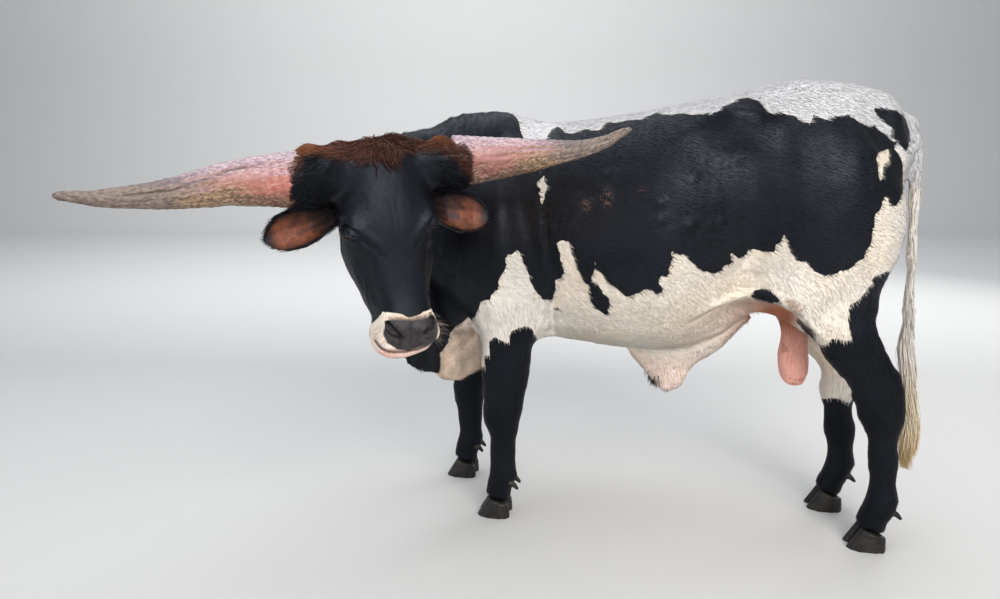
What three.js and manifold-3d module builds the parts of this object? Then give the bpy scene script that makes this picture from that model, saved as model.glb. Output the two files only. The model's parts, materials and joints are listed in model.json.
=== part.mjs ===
// A life-size Texas longhorn bull that stands and looks round to its left.
// Millimetres. It is shaped with X ahead of the hind feet, Y to its own left and Z up, and is
// turned at the end so that it faces -X, with the floor at Z 0 and its box centred on the origin.
import * as THREE from "three";
import { mergeVertices } from "three/addons/utils/BufferGeometryUtils.js";
import Module from "manifold-3d";

const wasm = await Module();
wasm.setup();

// Driving dimensions of the bull
const HIP_TOP = 1412;
const WITHERS_TOP = 1330;
const BELLY_LOW = 578;
const BARREL_WIDTH = 590;
const HOOK_WIDTH = 480;
const FORE_REACH = 1260; // from the hind feet to the fore feet
const HEAD_LENGTH = 562;
const HORN_SPREAD = 1410; // tip to tip
const HORN_BASE = 142; // diameter where it leaves the hair
const TAIL_END = 205;
const GAP = 0.3; // between solids that touch
const WELD = 0.004; // corners closer than this are one
const GRID = 67; // cell of the trunk's mesh

// How the head is held: turned to the left of straight ahead, forehead lifted, left side raised
const POLL = new THREE.Vector3(1370, 611, 1250);
const HEAD_TURN = THREE.MathUtils.degToRad(124);
const HEAD_LIFT = THREE.MathUtils.degToRad(10.5);
const HEAD_ROLL = THREE.MathUtils.degToRad(6);

// Small helpers for numbers and shapes
const { clamp, lerp } = THREE.MathUtils;
const TAU = 2 * Math.PI;
const V = (x, y, z) => new THREE.Vector3(x, y, z);

// A smooth function through [place, value] pairs in rising order.
function track(...pairs) {
  const slope = (i) => {
    const a = pairs[Math.max(i - 1, 0)];
    const b = pairs[Math.min(i + 1, pairs.length - 1)];
    return (b[1] - a[1]) / (b[0] - a[0]);
  };
  return (place) => {
    const x = clamp(place, pairs[0][0], pairs.at(-1)[0]);
    let i = 0;
    while (i < pairs.length - 2 && x > pairs[i + 1][0]) i += 1;
    const [x0, y0] = pairs[i];
    const [x1, y1] = pairs[i + 1];
    const t = (x - x0) / (x1 - x0);
    const bend = (x1 - x0) * t * (1 - t);
    const level = lerp(y0, y1, t * t * (3 - 2 * t));
    return level + bend * (slope(i) * (1 - t) - slope(i + 1) * t);
  };
}

// A number from 0 to 1 that looks random and is the same each run.
function drawFrom(seed) {
  let state = seed;
  return () => {
    state = (state * 1664525 + 1013904223) % 4294967296;
    return state / 4294967296;
  };
}

const steps = (count, from, to) =>
  Array.from({ length: count }, (_, i) => lerp(from, to, i / (count - 1)));

// Forms: a form is a function of a place that is below zero inside and about the distance outside.
function join(soft, ...forms) {
  return (p) =>
    forms.reduce((d, form) => {
      const e = form(p);
      const near = Math.max(soft - Math.abs(d - e), 0) / soft;
      return Math.min(d, e) - (near * near * soft) / 4;
    }, 1e4);
}

function hollow(soft, form, tool) {
  return (p) => {
    const d = form(p);
    const e = -tool(p);
    const near = Math.max(soft - Math.abs(d - e), 0) / soft;
    return Math.max(d, e) + (near * near * soft) / 4;
  };
}

// An ellipsoid; lean turns it about Y, so that its top goes ahead.
function lump(centre, radii, lean = 0) {
  const c = Math.cos(lean);
  const s = Math.sin(lean);
  return (p) => {
    const dx = p.x - centre.x;
    const dz = p.z - centre.z;
    const u = (dx * c - dz * s) / radii[0];
    const v = (p.y - centre.y) / radii[1];
    const w = (dx * s + dz * c) / radii[2];
    const k = Math.hypot(u, v, w);
    const g = Math.hypot(u / radii[0], v / radii[1], w / radii[2]);
    return g < 1e-9 ? -Math.min(...radii) : (k * (k - 1)) / g;
  };
}

// A tapered limb between two points; wide is its width over its depth.
function limb(a, b, ra, rb, wide = 1) {
  const squash = (p, q) => q.set(p.x, (p.y - a.y) / wide + a.y, p.z);
  const from = squash(a, V(0, 0, 0));
  const along = squash(b, V(0, 0, 0)).sub(from);
  const length2 = along.lengthSq();
  const q = V(0, 0, 0);
  return (p) => {
    squash(p, q);
    const t = clamp(q.sub(from).dot(along) / length2, 0, 1);
    return (q.addScaledVector(along, -t).length() - lerp(ra, rb, t)) * Math.min(wide, 1);
  };
}

function bothSides(form) {
  const q = V(0, 0, 0);
  return (p) => form(q.set(p.x, Math.abs(p.y), p.z));
}

// The distance to an oval section that reaches over and under the level where it is widest.
function ovalGap(across, up, width, over, under, roundOver, roundUnder) {
  const reach = up > 0 ? over : under;
  const power = up > 0 ? roundOver : roundUnder;
  const r = Math.hypot(across, up);
  if (r < 1e-6) return -Math.min(width, reach);
  const k = (Math.abs(across / width) ** power + Math.abs(up / reach) ** power) ** (1 / power);
  return r - r / k;
}

// A manifold solid from a closed geometry, turned right side out.
function solid(geometry) {
  const bare = geometry.clone();
  bare.deleteAttribute("normal");
  bare.deleteAttribute("uv");
  const merged = mergeVertices(bare, 1e-4);
  const triVerts = new Uint32Array(merged.index.array);
  const vertProperties = merged.attributes.position.array;
  const made = new wasm.Manifold(new wasm.Mesh({ numProp: 3, vertProperties, triVerts }));
  if (made.volume() > 0) return made;
  for (let i = 0; i < triVerts.length; i += 3) {
    [triVerts[i + 1], triVerts[i + 2]] = [triVerts[i + 2], triVerts[i + 1]];
  }
  return new wasm.Manifold(new wasm.Mesh({ numProp: 3, vertProperties, triVerts }));
}

// A closed solid from rings of points, with a point at each end.
function ringSolid(rings, first, last) {
  const count = rings[0].length;
  const faces = [];
  for (let i = 0; i < rings.length - 1; i += 1) {
    for (let j = 0; j < count; j += 1) {
      const a = i * count + j;
      const b = i * count + ((j + 1) % count);
      faces.push(a, b, b + count, a, b + count, a + count);
    }
  }
  const start = rings.length * count;
  for (let j = 0; j < count; j += 1) {
    const k = (j + 1) % count;
    faces.push(start, k, j, start + 1, start - count + j, start - count + k);
  }
  return solid(new THREE.BufferGeometry().setFromPoints([...rings.flat(), first, last]).setIndex(faces));
}

// How far from a place, in one direction, the skin of a form lies.
const probe = V(0, 0, 0);
function skinAlong(form, from, way, most, step = 6) {
  let far = step;
  while (far < most && form(probe.copy(from).addScaledVector(way, far)) < 0) far += step;
  if (far >= most) return most;
  let near = far - step;
  for (let i = 0; i < 12; i += 1) {
    const mid = (near + far) / 2;
    if (form(probe.copy(from).addScaledVector(way, mid)) < 0) near = mid;
    else far = mid;
  }
  return near;
}

// A skin cast out of a line of frames, each { centre, across, up }, onto a form.
function castSolid(form, frames, count, most) {
  const rings = frames.map(({ centre, across, up }) =>
    Array.from({ length: count }, (_, j) => {
      const turn = (TAU * j) / count;
      const way = across.clone().multiplyScalar(Math.cos(turn)).addScaledVector(up, Math.sin(turn));
      return centre.clone().addScaledVector(way, skinAlong(form, centre, way, most));
    }),
  );
  const pole = (frame, next) => {
    const way = frame.centre.clone().sub(next.centre).normalize();
    const room = frame.centre.distanceTo(next.centre);
    return frame.centre.clone().addScaledVector(way, skinAlong(form, frame.centre, way, room, 1));
  };
  return ringSolid(rings, pole(frames[0], frames[1]), pole(frames.at(-1), frames.at(-2)));
}

// Frames along a line of points, each upright to it.
function framesAlong(points, acrossOf) {
  return points.map((centre, i) => {
    const ahead = points[Math.min(i + 1, points.length - 1)];
    const along = ahead.clone().sub(points[Math.max(i - 1, 0)]).normalize();
    const across = acrossOf(i / (points.length - 1)).clone();
    across.addScaledVector(along, -across.dot(along)).normalize();
    return { centre, across, up: along.clone().cross(across) };
  });
}

// A solid drawn along a line: section(t) gives a ring of [across, up] pairs.
function loft(points, section, acrossOf) {
  const rings = framesAlong(points, acrossOf).map(({ centre, across, up }, i) =>
    section(i / (points.length - 1)).map(([u, v]) =>
      centre.clone().addScaledVector(across, u).addScaledVector(up, v),
    ),
  );
  return ringSolid(rings, points[0].clone(), points.at(-1).clone());
}

// A ring of [across, up] pairs on an oval; a higher power makes it squarer.
const oval = (count, width, height, power = 2) =>
  Array.from({ length: count }, (_, j) => {
    const c = Math.cos((TAU * j) / count);
    const s = Math.sin((TAU * j) / count);
    const bulge = (v) => Math.sign(v) * Math.abs(v) ** (2 / power);
    return [width * bulge(c), height * bulge(s)];
  });

// A closed skin of a form inside a box, on a grid of cells, with its points drawn onto the form.
function gridSolid(form, low, high) {
  const counts = ["x", "y", "z"].map((k) => Math.ceil((high[k] - low[k]) / GRID) + 1);
  const [nx, ny, nz] = counts;
  const at = (i, j, k) => (i * ny + j) * nz + k;
  const corner = (i, j, k) => V(low.x + i * GRID, low.y + j * GRID, low.z + k * GRID);
  const value = new Float64Array(nx * ny * nz);
  for (let i = 0; i < nx; i += 1) {
    for (let j = 0; j < ny; j += 1) {
      for (let k = 0; k < nz; k += 1) {
        const rim = i * j * k === 0 || i === nx - 1 || j === ny - 1 || k === nz - 1;
        value[at(i, j, k)] = rim ? 1 : form(corner(i, j, k));
      }
    }
  }
  const slope = V(0, 0, 0);
  const drawOn = (p) => {
    for (let turn = 0; turn < 4; turn += 1) {
      const d = form(p);
      slope.set(
        form(probe.copy(p).setX(p.x + 1)) - d,
        form(probe.copy(p).setY(p.y + 1)) - d,
        form(probe.copy(p).setZ(p.z + 1)) - d,
      );
      const pull = clamp(-d / Math.max(slope.lengthSq(), 0.2), -GRID / 4, GRID / 4);
      p.addScaledVector(slope, pull);
    }
    return p;
  };
  const cellPoint = new Map();
  const points = [];
  const pointOf = (i, j, k) => {
    const key = at(i, j, k);
    if (cellPoint.has(key)) return cellPoint.get(key);
    const sum = V(0, 0, 0);
    let hits = 0;
    for (let e = 0; e < 12; e += 1) {
      const axis = e >> 2;
      const one = [e & 1, (e >> 1) & 1];
      const a = [i, j, k];
      a[(axis + 1) % 3] += one[0];
      a[(axis + 2) % 3] += one[1];
      const b = [...a];
      b[axis] += 1;
      const va = value[at(...a)];
      const vb = value[at(...b)];
      if (va < 0 === vb < 0) continue;
      sum.add(corner(...a).lerp(corner(...b), va / (va - vb)));
      hits += 1;
    }
    points.push(drawOn(sum.divideScalar(hits)));
    cellPoint.set(key, points.length - 1);
    return points.length - 1;
  };
  const faces = [];
  for (let i = 0; i < nx - 1; i += 1) {
    for (let j = 0; j < ny - 1; j += 1) {
      for (let k = 0; k < nz - 1; k += 1) {
        const here = value[at(i, j, k)] < 0;
        for (let axis = 0; axis < 3; axis += 1) {
          const next = [i, j, k];
          next[axis] += 1;
          if (here === value[at(...next)] < 0) continue;
          const u = (axis + 1) % 3;
          const v = (axis + 2) % 3;
          const quad = [[0, 0], [1, 0], [1, 1], [0, 1]].map(([du, dv]) => {
            const cell = [i, j, k];
            cell[u] -= du;
            cell[v] -= dv;
            return pointOf(...cell);
          });
          if (!here) quad.reverse();
          const [a, b, c, d] = quad;
          const short = points[a].distanceTo(points[c]) < points[b].distanceTo(points[d]);
          faces.push(...(short ? [a, b, c, a, c, d] : [a, b, d, b, c, d]));
        }
      }
    }
  }
  return solid(new THREE.BufferGeometry().setFromPoints(points).setIndex(faces));
}

const union = (...solids) => solids.reduce((a, b) => a.add(b));
const largest = (made) => made.decompose().reduce((a, b) => (a.volume() > b.volume() ? a : b));

// What lies on the side of a plane that its normal points to, half a gap away from it.
function keep(made, { point, normal }) {
  const n = normal.clone().normalize();
  return made.trimByPlane([n.x, n.y, n.z], n.dot(point) + GAP / 2);
}
const flip = ({ point, normal }) => ({ point, normal: normal.clone().negate() });

// How far a place lies on the side of a plane that its normal points away from
const behind = ({ point, normal }, p) => {
  const n = normal.clone().normalize();
  return n.dot(point) - n.dot(p);
};

// The trunk: its outline from the side, its half width, and the level where it is widest
const backLine = track(
  [-40, 1262],
  [0, 1334],
  [60, HIP_TOP - 34],
  [160, HIP_TOP - 4],
  [290, HIP_TOP],
  [400, HIP_TOP - 15],
  [620, HIP_TOP - 55],
  [860, WITHERS_TOP - 12],
  [1030, WITHERS_TOP - 26],
  [1130, WITHERS_TOP - 22],
  [1270, WITHERS_TOP],
  [1390, WITHERS_TOP - 45],
  [1470, WITHERS_TOP - 150],
);
const bellyLine = track(
  [-40, 1150],
  [60, 930],
  [200, 812],
  [310, 722],
  [400, BELLY_LOW + 64],
  [520, BELLY_LOW + 18],
  [660, BELLY_LOW],
  [800, BELLY_LOW + 6],
  [950, BELLY_LOW + 22],
  [1100, BELLY_LOW + 32],
  [1250, BELLY_LOW + 20],
  [1370, BELLY_LOW + 60],
  [1470, BELLY_LOW + 190],
);
const trunkHalfWidth = track(
  [-40, 60],
  [40, 105],
  [200, 165],
  [330, 190],
  [450, 228],
  [620, BARREL_WIDTH / 2 - 8],
  [760, BARREL_WIDTH / 2],
  [920, BARREL_WIDTH / 2 - 20],
  [1080, 228],
  [1250, 172],
  [1380, 146],
  [1470, 84],
);
const topSquareness = track([0, 2], [250, 2.5], [560, 2.4], [800, 1.95], [1470, 1.95]);
const wideLevel = track([-40, 1210], [200, 1120], [450, 1010], [700, 930], [950, 900], [1470, 920]);
const TRUNK_REAR = -34;
const TRUNK_FRONT = 1468;

function trunkForm(p) {
  const level = wideLevel(p.x);
  const over = backLine(p.x) - level;
  const under = level - bellyLine(p.x);
  const d = ovalGap(p.y, p.z - level, trunkHalfWidth(p.x), over, under, topSquareness(p.x), 2.25);
  return Math.max(d, p.x - TRUNK_FRONT, TRUNK_REAR - p.x);
}

// Muscle and bone that stand out of the trunk, on both sides
const HOOK = V(458, HOOK_WIDTH / 2 - 74, 1308);
const PIN = V(20, 84, 1205);
const trunkRelief = bothSides(
  join(
    46,
    lump(HOOK, [84, 54, 48], -0.3),
    lump(PIN, [46, 46, 56]),
    limb(V(300, 60, 1362), V(30, 40, 1330), 50, 38),
    lump(V(225, 148, 1060), [196, 104, 250], 0.12),
    lump(V(100, 118, 990), [104, 84, 214], 0.06),
    limb(V(1168, 60, 1262), V(1342, 138, 880), 72, 82, 0.9),
    limb(V(1342, 140, 874), V(1150, 168, 742), 86, 84, 0.86),
    lump(V(1180, 148, 960), [128, 90, 190], 0.25),
    lump(V(1300, 62, 724), [120, 78, 104]),
    limb(V(450, 110, 700), V(290, 150, 768), 62, 66),
  ),
);
const hungerHollow = bothSides(lump(V(520, 268, 1215), [105, 46, 72], -0.2));
const flankHollow = bothSides(lump(V(395, 250, 800), [60, 70, 120], 0.35));
const trunkSkin = hollow(60, hollow(40, join(70, trunkForm, trunkRelief), hungerHollow), flankHollow);

// Legs: the joints follow from where the foot stands
const LEGS = {
  fore_left: { side: 1, fore: true, foot: V(FORE_REACH - 95, 138, 0) },
  fore_right: { side: -1, fore: true, foot: V(FORE_REACH + 85, -138, 0) },
  hind_left: { side: 1, fore: false, foot: V(-12, 122, 0) },
  hind_right: { side: -1, fore: false, foot: V(52, -122, 0) },
};

function foreJoints({ side, foot }) {
  const { x, y } = foot;
  const lean = (x - FORE_REACH) * 0.35;
  return {
    elbow: V(1142 + lean * 0.6, side * 168, 700),
    forearm: V(lerp(1142 + lean, x - 20, 0.35), side * 158, 560),
    knee: V(x - 22, y + 4 * side, 362),
    kneeLow: V(x - 22, y + 2 * side, 300),
    cannon: V(x - 20, y, 225),
    fetlock: V(x - 24, y, 142),
    pastern: V(x - 2, y, 84),
  };
}

function hindJoints({ side, foot }) {
  const { x, y } = foot;
  const lean = (x - 20) * 0.7;
  return {
    hip: V(190, side * 140, 1080),
    thigh: V(116, side * 128, 960),
    stifle: V(262 + lean * 0.3, side * 186, 800),
    shank: V(162 + lean * 0.6, side * 170, 660),
    hamstring: V(112 + lean * 0.3, side * 146, 760),
    hock: V(22 + lean, y + 14 * side, 505),
    heel: V(-12 + lean, y + 12 * side, 536),
    hockLow: V(x + 0, y + 8 * side, 430),
    cannon: V(x - 10, y + 2 * side, 290),
    fetlock: V(x - 30, y, 148),
    pastern: V(x - 4, y, 86),
  };
}

function legForm(leg) {
  const j = leg.fore ? foreJoints(leg) : hindJoints(leg);
  const foot = lump(j.pastern.clone().setZ(66), [60, 52, 26]);
  if (leg.fore) {
    return join(
      26,
      limb(j.elbow, j.forearm, 92, 74, 0.74),
      limb(j.forearm, j.knee, 76, 50, 0.86),
      limb(j.knee, j.kneeLow, 57, 46, 0.96),
      limb(j.kneeLow, j.cannon, 43, 37, 0.86),
      limb(j.cannon, j.fetlock, 37, 41, 0.9),
      limb(j.fetlock, j.pastern, 43, 44, 1.04),
      lump(j.elbow.clone().add(V(-62, 0, -6)), [42, 34, 52]),
      foot,
    );
  }
  return join(
    30,
    limb(j.hip, j.stifle, 130, 98, 0.66),
    limb(j.stifle, j.shank, 88, 78, 0.62),
    limb(j.thigh, j.hamstring, 86, 50, 0.8),
    limb(j.hamstring, j.shank, 58, 64, 0.7),
    limb(j.shank, j.hock, 72, 49, 0.66),
    limb(j.hamstring, j.heel, 27, 18, 0.8),
    limb(j.heel, j.hockLow, 28, 38, 0.9),
    limb(j.hock, j.hockLow, 49, 43, 0.84),
    limb(j.hockLow, j.cannon, 42, 37, 0.84),
    limb(j.cannon, j.fetlock, 37, 41, 0.9),
    limb(j.fetlock, j.pastern, 43, 43, 1.04),
    foot,
  );
}
const legForms = Object.fromEntries(Object.entries(LEGS).map(([name, leg]) => [name, legForm(leg)]));

// The neck: a line seen from above, with the crest, the throat and the half width along it
const neckLine = new THREE.CatmullRomCurve3(
  [V(1080, -4, 0), V(1265, 0, 0), V(1400, 78, 0), V(1462, 215, 0), V(1456, 350, 0), V(1412, 478, 0)],
  false,
  "centripetal",
);
const NECK_STEPS = 48;
const neckPoints = neckLine.getSpacedPoints(NECK_STEPS);
const crestLine = track(
  [0, WITHERS_TOP - 22],
  [0.25, WITHERS_TOP - 2],
  [0.45, WITHERS_TOP - 34],
  [0.66, WITHERS_TOP - 66],
  [0.85, WITHERS_TOP - 92],
  [1, WITHERS_TOP - 130],
);
const throatLine = track([0, 650], [0.22, 672], [0.45, 772], [0.66, 842], [0.85, 900], [1, 950]);
const neckHalfWidth = track([0, 146], [0.22, 148], [0.45, 132], [0.66, 116], [0.85, 104], [1, 94]);

// Where a place lies along the neck, and how far from its middle line seen from above.
function alongNeck(p) {
  let gap = Infinity;
  let t = 0;
  for (let i = 0; i < NECK_STEPS; i += 1) {
    const a = neckPoints[i];
    const dx = neckPoints[i + 1].x - a.x;
    const dy = neckPoints[i + 1].y - a.y;
    const s = clamp(((p.x - a.x) * dx + (p.y - a.y) * dy) / (dx * dx + dy * dy), 0, 1);
    const here = Math.hypot(p.x - a.x - s * dx, p.y - a.y - s * dy);
    if (here < gap) {
      gap = here;
      t = (i + s) / NECK_STEPS;
    }
  }
  return { gap, t };
}

function neckForm(p) {
  const { gap, t } = alongNeck(p);
  const crest = crestLine(t);
  const throat = throatLine(t);
  const level = lerp(throat, crest, 0.42);
  return ovalGap(gap, p.z - level, neckHalfWidth(t), crest - level, level - throat, 1.8, 1.9);
}

// The dewlap: a folded sheet of skin under the neck line, from the brisket to the throat
const dewlapLow = track(
  [0.05, 600],
  [0.18, 510],
  [0.3, 464],
  [0.44, 456],
  [0.56, 486],
  [0.68, 600],
  [0.84, 780],
  [0.95, 880],
);
const dewlapHalf = track([0.05, 32], [0.25, 35], [0.4, 36], [0.55, 26], [0.75, 17], [0.95, 14]);
const FOLDS = 9;
const DEWLAP_COUNT = 14;

function dewlapSolid() {
  const shares = steps(34, 0.06, 0.93);
  const rings = shares.map((t) => {
    const base = neckLine.getPointAt(t);
    const along = neckLine.getTangentAt(t);
    const left = V(-along.y, along.x, 0);
    const low = dewlapLow(t);
    const high = throatLine(t) + 60;
    return oval(DEWLAP_COUNT, 1, 1, 2.2).map(([u, v]) => {
      const z = lerp(low, high, (v + 1) / 2);
      const hang = clamp((high - z) / (high - low), 0, 1);
      const sway = 13 * hang * Math.sin(TAU * FOLDS * t + 2 * hang) * clamp((0.95 - t) * 8, 0, 1);
      const half = lerp(dewlapHalf(t) * 1.3, dewlapHalf(t) * 0.6, hang);
      return base.clone().addScaledVector(left, u * half + sway).setZ(z);
    });
  });
  const middle = (ring) => ring.reduce((a, b) => a.add(b), V(0, 0, 0)).divideScalar(ring.length);
  return ringSolid(rings, middle(rings[0]), middle(rings.at(-1)));
}

// The head has a frame of its own: X out of the forehead, Y to its left, Z up the face, poll at 0
const headTurn = new THREE.Matrix4()
  .makeRotationZ(HEAD_TURN)
  .multiply(new THREE.Matrix4().makeRotationY(-HEAD_LIFT))
  .multiply(new THREE.Matrix4().makeRotationX(HEAD_ROLL))
  .setPosition(POLL);
const headBack = headTurn.clone().invert();
const headPoint = (x, y, z) => V(x, y, z).applyMatrix4(headTurn);
const headWay = (x, y, z) => V(x, y, z).transformDirection(headTurn);

// Down the face, from above the poll to the end of the muzzle, in shares of the head's length
const down = (share) => share * HEAD_LENGTH;
const faceFront = track(
  [0, -46],
  [down(0.05), -12],
  [down(0.1), 0],
  [down(0.25), 8],
  [down(0.4), 6],
  [down(0.55), -4],
  [down(0.7), -9],
  [down(0.84), -8],
  [down(0.93), -22],
  [down(1), -66],
);
const faceBack = track(
  [0, -140],
  [down(0.04), -190],
  [down(0.12), -220],
  [down(0.28), -238],
  [down(0.42), -252],
  [down(0.52), -254],
  [down(0.64), -234],
  [down(0.77), -192],
  [down(0.89), -152],
  [down(1), -100],
);
const faceHalfWidth = track(
  [0, 66],
  [down(0.05), 92],
  [down(0.12), 96],
  [down(0.28), 106],
  [down(0.4), 110],
  [down(0.52), 98],
  [down(0.66), 80],
  [down(0.78), 70],
  [down(0.88), 72],
  [down(0.95), 68],
  [down(1), 38],
);
const faceLevel = track([0, -80], [down(0.4), -72], [down(0.6), -62], [down(0.9), -66], [down(1), -78]);

function faceForm(q) {
  const t = -q.z;
  const level = faceLevel(t);
  const over = faceFront(t) - level;
  const under = level - faceBack(t);
  const d = ovalGap(q.y, q.x - level, faceHalfWidth(t), over, under, 2.7, 3.8);
  return Math.max(d, t - HEAD_LENGTH, -t);
}

const EYE_PLACE = V(-50, 100, -232);
const EYE_RADIUS = 21;
const HORN_ROOT = V(-60, 199, -80);
const headRelief = bothSides(
  join(
    22,
    limb(V(-78, 50, -58), V(-72, 112, -66), 80, 62),
    lump(V(EYE_PLACE.x + 4, 90, EYE_PLACE.z + 12), [42, 38, 36]),
    limb(V(-70, 82, -250), V(-92, 72, -310), 30, 22),
    lump(V(-158, 66, -262), [66, 36, 96], -0.2),
    lump(V(-42, 44, -down(0.9)), [38, 32, 40]),
    lump(V(-92, 48, -down(0.88)), [36, 28, 44]),
    lump(V(-112, 22, -down(0.94)), [28, 36, 34]),
  ),
);
const pollCushion = lump(V(-70, 0, -34), [62, 140, 34]);
const templeHollow = bothSides(lump(V(-112, 136, -150), [56, 26, 40]));
const headShape = hollow(30, join(26, faceForm, headRelief, pollCushion), templeHollow);
const headLocal = V(0, 0, 0);
const headForm = (p) => headShape(headLocal.copy(p).applyMatrix4(headBack));

// The whole skin, and the planes that part it
const bodyForm = join(56, trunkSkin, ...Object.values(legForms), neckForm, headForm);
const NECK_CUT = { point: V(1425, 185, 850), normal: V(0.5, 0.86, 0.08) };
const HEAD_CUT = { point: headPoint(-128, 0, 20), normal: headWay(0.92, 0, -0.36) };
const TAIL_CUT = { point: V(-30, 0, 1290), normal: V(-1, 0, 0.2) };
const COARSE_END = 500; // the trunk's coarse skin ends here, inside the upper legs

const trunkSolid = gridSolid(
  (p) => Math.max(bodyForm(p), -behind(NECK_CUT, p) - 40, COARSE_END - p.z),
  V(-150, -415, COARSE_END - 70),
  V(1620, 413, 1460),
);

// A block round the top of a leg, seen from the front: it parts the leg from the trunk
function legBlock({ side, fore, foot }, inset) {
  const from = fore ? FORE_REACH - 262 + inset : -120;
  const to = (fore ? foot.x + (side > 0 ? 130 : 100) : 380) - inset;
  const inner = fore ? [48, 596] : [26, 690];
  const outer = fore ? [300, 812] : [300, 960];
  const slope = new THREE.Vector2(outer[0] - inner[0], outer[1] - inner[1]).normalize();
  const shift = new THREE.Vector2(slope.y, -slope.x).multiplyScalar(inset);
  const outline = [
    [inner[0] + shift.x, inner[1] + shift.y],
    [outer[0] + shift.x, outer[1] + shift.y],
    [outer[0] + 60, -20],
    [inner[0] + shift.x, -20],
  ];
  const shape = new THREE.Shape(outline.map(([y, z]) => new THREE.Vector2(side * y, z)));
  const block = new THREE.ExtrudeGeometry(shape, { depth: to - from, bevelEnabled: false });
  const turn = new THREE.Matrix4().makeBasis(V(0, 1, 0), V(0, 0, 1), V(1, 0, 0));
  return solid(block.applyMatrix4(turn.setPosition(from, 0, 0)));
}

// Neck, from the cut at the shoulder to the cut behind the head
const neckFrames = framesAlong(
  steps(16, 0.4, 1).map((t) => {
    const p = neckLine.getPointAt(t);
    return p.setZ(lerp(throatLine(t), crestLine(t), 0.5));
  }),
  () => V(0, 0, 1),
);
const neckCast = castSolid(
  (p) => Math.max(bodyForm(p), behind(NECK_CUT, p) - 60, -behind(HEAD_CUT, p) - 30),
  neckFrames,
  22,
  420,
);
const dewlap = dewlapSolid();
const neckSolid = keep(keep(neckCast.add(dewlap), NECK_CUT), flip(HEAD_CUT));

// Horns
const HORN_COUNT = 12;
const hornRadius = track(
  [0, HORN_BASE / 2],
  [0.24, HORN_BASE * 0.395],
  [0.45, HORN_BASE * 0.29],
  [0.6, HORN_BASE * 0.215],
  [0.72, HORN_BASE * 0.168],
  [0.85, HORN_BASE * 0.112],
  [0.95, HORN_BASE * 0.062],
  [1, HORN_BASE * 0.025],
);
function hornSolid(side, extra) {
  const half = HORN_SPREAD / 2;
  const line = new THREE.CatmullRomCurve3([
    headPoint(-61, side * (HORN_ROOT.y - 14 - extra), -79),
    headPoint(-30, side * half * 0.47, -87),
    headPoint(4, side * half * 0.64, -92),
    headPoint(38, side * half * 0.82, -84),
    headPoint(70, side * half, -64),
  ]);
  const section = (t) => oval(HORN_COUNT, hornRadius(t) + extra, hornRadius(t) * 0.97 + extra);
  return loft(line.getSpacedPoints(13), section, () => headWay(0, 0, 1));
}

// Horn bosses: the thick skin and hair that the horns come out of
const BOSS_COUNT = 16;
const bossRadius = track([0, 58], [0.5, 72], [0.8, 76], [0.94, 75.5], [1, 73]);
function bossSolid(side) {
  const root = headPoint(-60, side * HORN_ROOT.y, -80);
  const line = new THREE.LineCurve3(headPoint(-80, side * 36, -56), root);
  const section = (t) => oval(BOSS_COUNT, bossRadius(t), bossRadius(t) * 0.98);
  return loft(line.getSpacedPoints(5), section, () => headWay(0, 0, 1));
}

// Ears: a stalk that opens into a cup whose hollow faces ahead
const EAR_SIDE = 7;
const earHalf = track([0, 20], [0.2, 25], [0.4, 44], [0.6, 50], [0.8, 42], [0.93, 24], [1, 7]);
const earCup = track([0, 0], [0.2, 8], [0.45, 25], [0.8, 17], [1, 3]);
const earThick = track([0, 17], [0.2, 13], [0.4, 5], [1, 3]);
function earSolid(side, extra) {
  const line = new THREE.CatmullRomCurve3([
    headPoint(-122, side * (82 - extra), -172),
    headPoint(-118, side * 140, -176),
    headPoint(-106, side * 215, -184),
    headPoint(-112, side * 290, -202),
  ]);
  const section = (t) => {
    const half = earHalf(t) + extra;
    const arc = (i, thick) => {
      const u = Math.cos((Math.PI * i) / EAR_SIDE);
      const rim = Math.sqrt(Math.max(1 - u * u, 0));
      return [half * u, side * (thick * rim - earCup(t) * (1 - u * u))];
    };
    const thick = earThick(t) + extra;
    const front = Array.from({ length: EAR_SIDE }, (_, i) => arc(i, thick));
    const back = Array.from({ length: EAR_SIDE }, (_, i) => arc(EAR_SIDE - i, -thick));
    return [...front, ...back];
  };
  return loft(line.getSpacedPoints(8), section, () => headWay(0, 0.12, 1));
}

// Eyes: each lies under the skin that its place on the brow gives, looking out and ahead
function eyePlan(side) {
  const out = V(0.36, side * 0.93, 0.04).normalize();
  const from = V(EYE_PLACE.x, side * 60, EYE_PLACE.z);
  const skin = from.clone().addScaledVector(out, skinAlong(headShape, from, out, 120, 2));
  const flat = out.clone().cross(V(0, 0, side)).normalize();
  const long = flat.clone().multiplyScalar(0.84).add(V(0, 0, -0.54)).normalize();
  const short = out.clone().cross(long).multiplyScalar(-side).normalize();
  return { skin, out, long, short, centre: skin.clone().addScaledVector(out, -EYE_RADIUS - 1) };
}
const ball = (radius) => new THREE.SphereGeometry(radius, 12, 8);
function eyeSolid(side, extra) {
  const { centre } = eyePlan(side);
  const round = ball(EYE_RADIUS + extra);
  return solid(round.translate(...centre.toArray()).applyMatrix4(headTurn));
}

// An egg-shaped cutter, lying along three ways in the head's frame.
function eggSolid(centre, ways, radii) {
  const [a, b, c] = ways.map((way, i) => way.clone().multiplyScalar(radii[i]));
  const turn = new THREE.Matrix4().makeBasis(a, b, c).setPosition(centre);
  return solid(ball(1).applyMatrix4(turn).applyMatrix4(headTurn));
}

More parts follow.
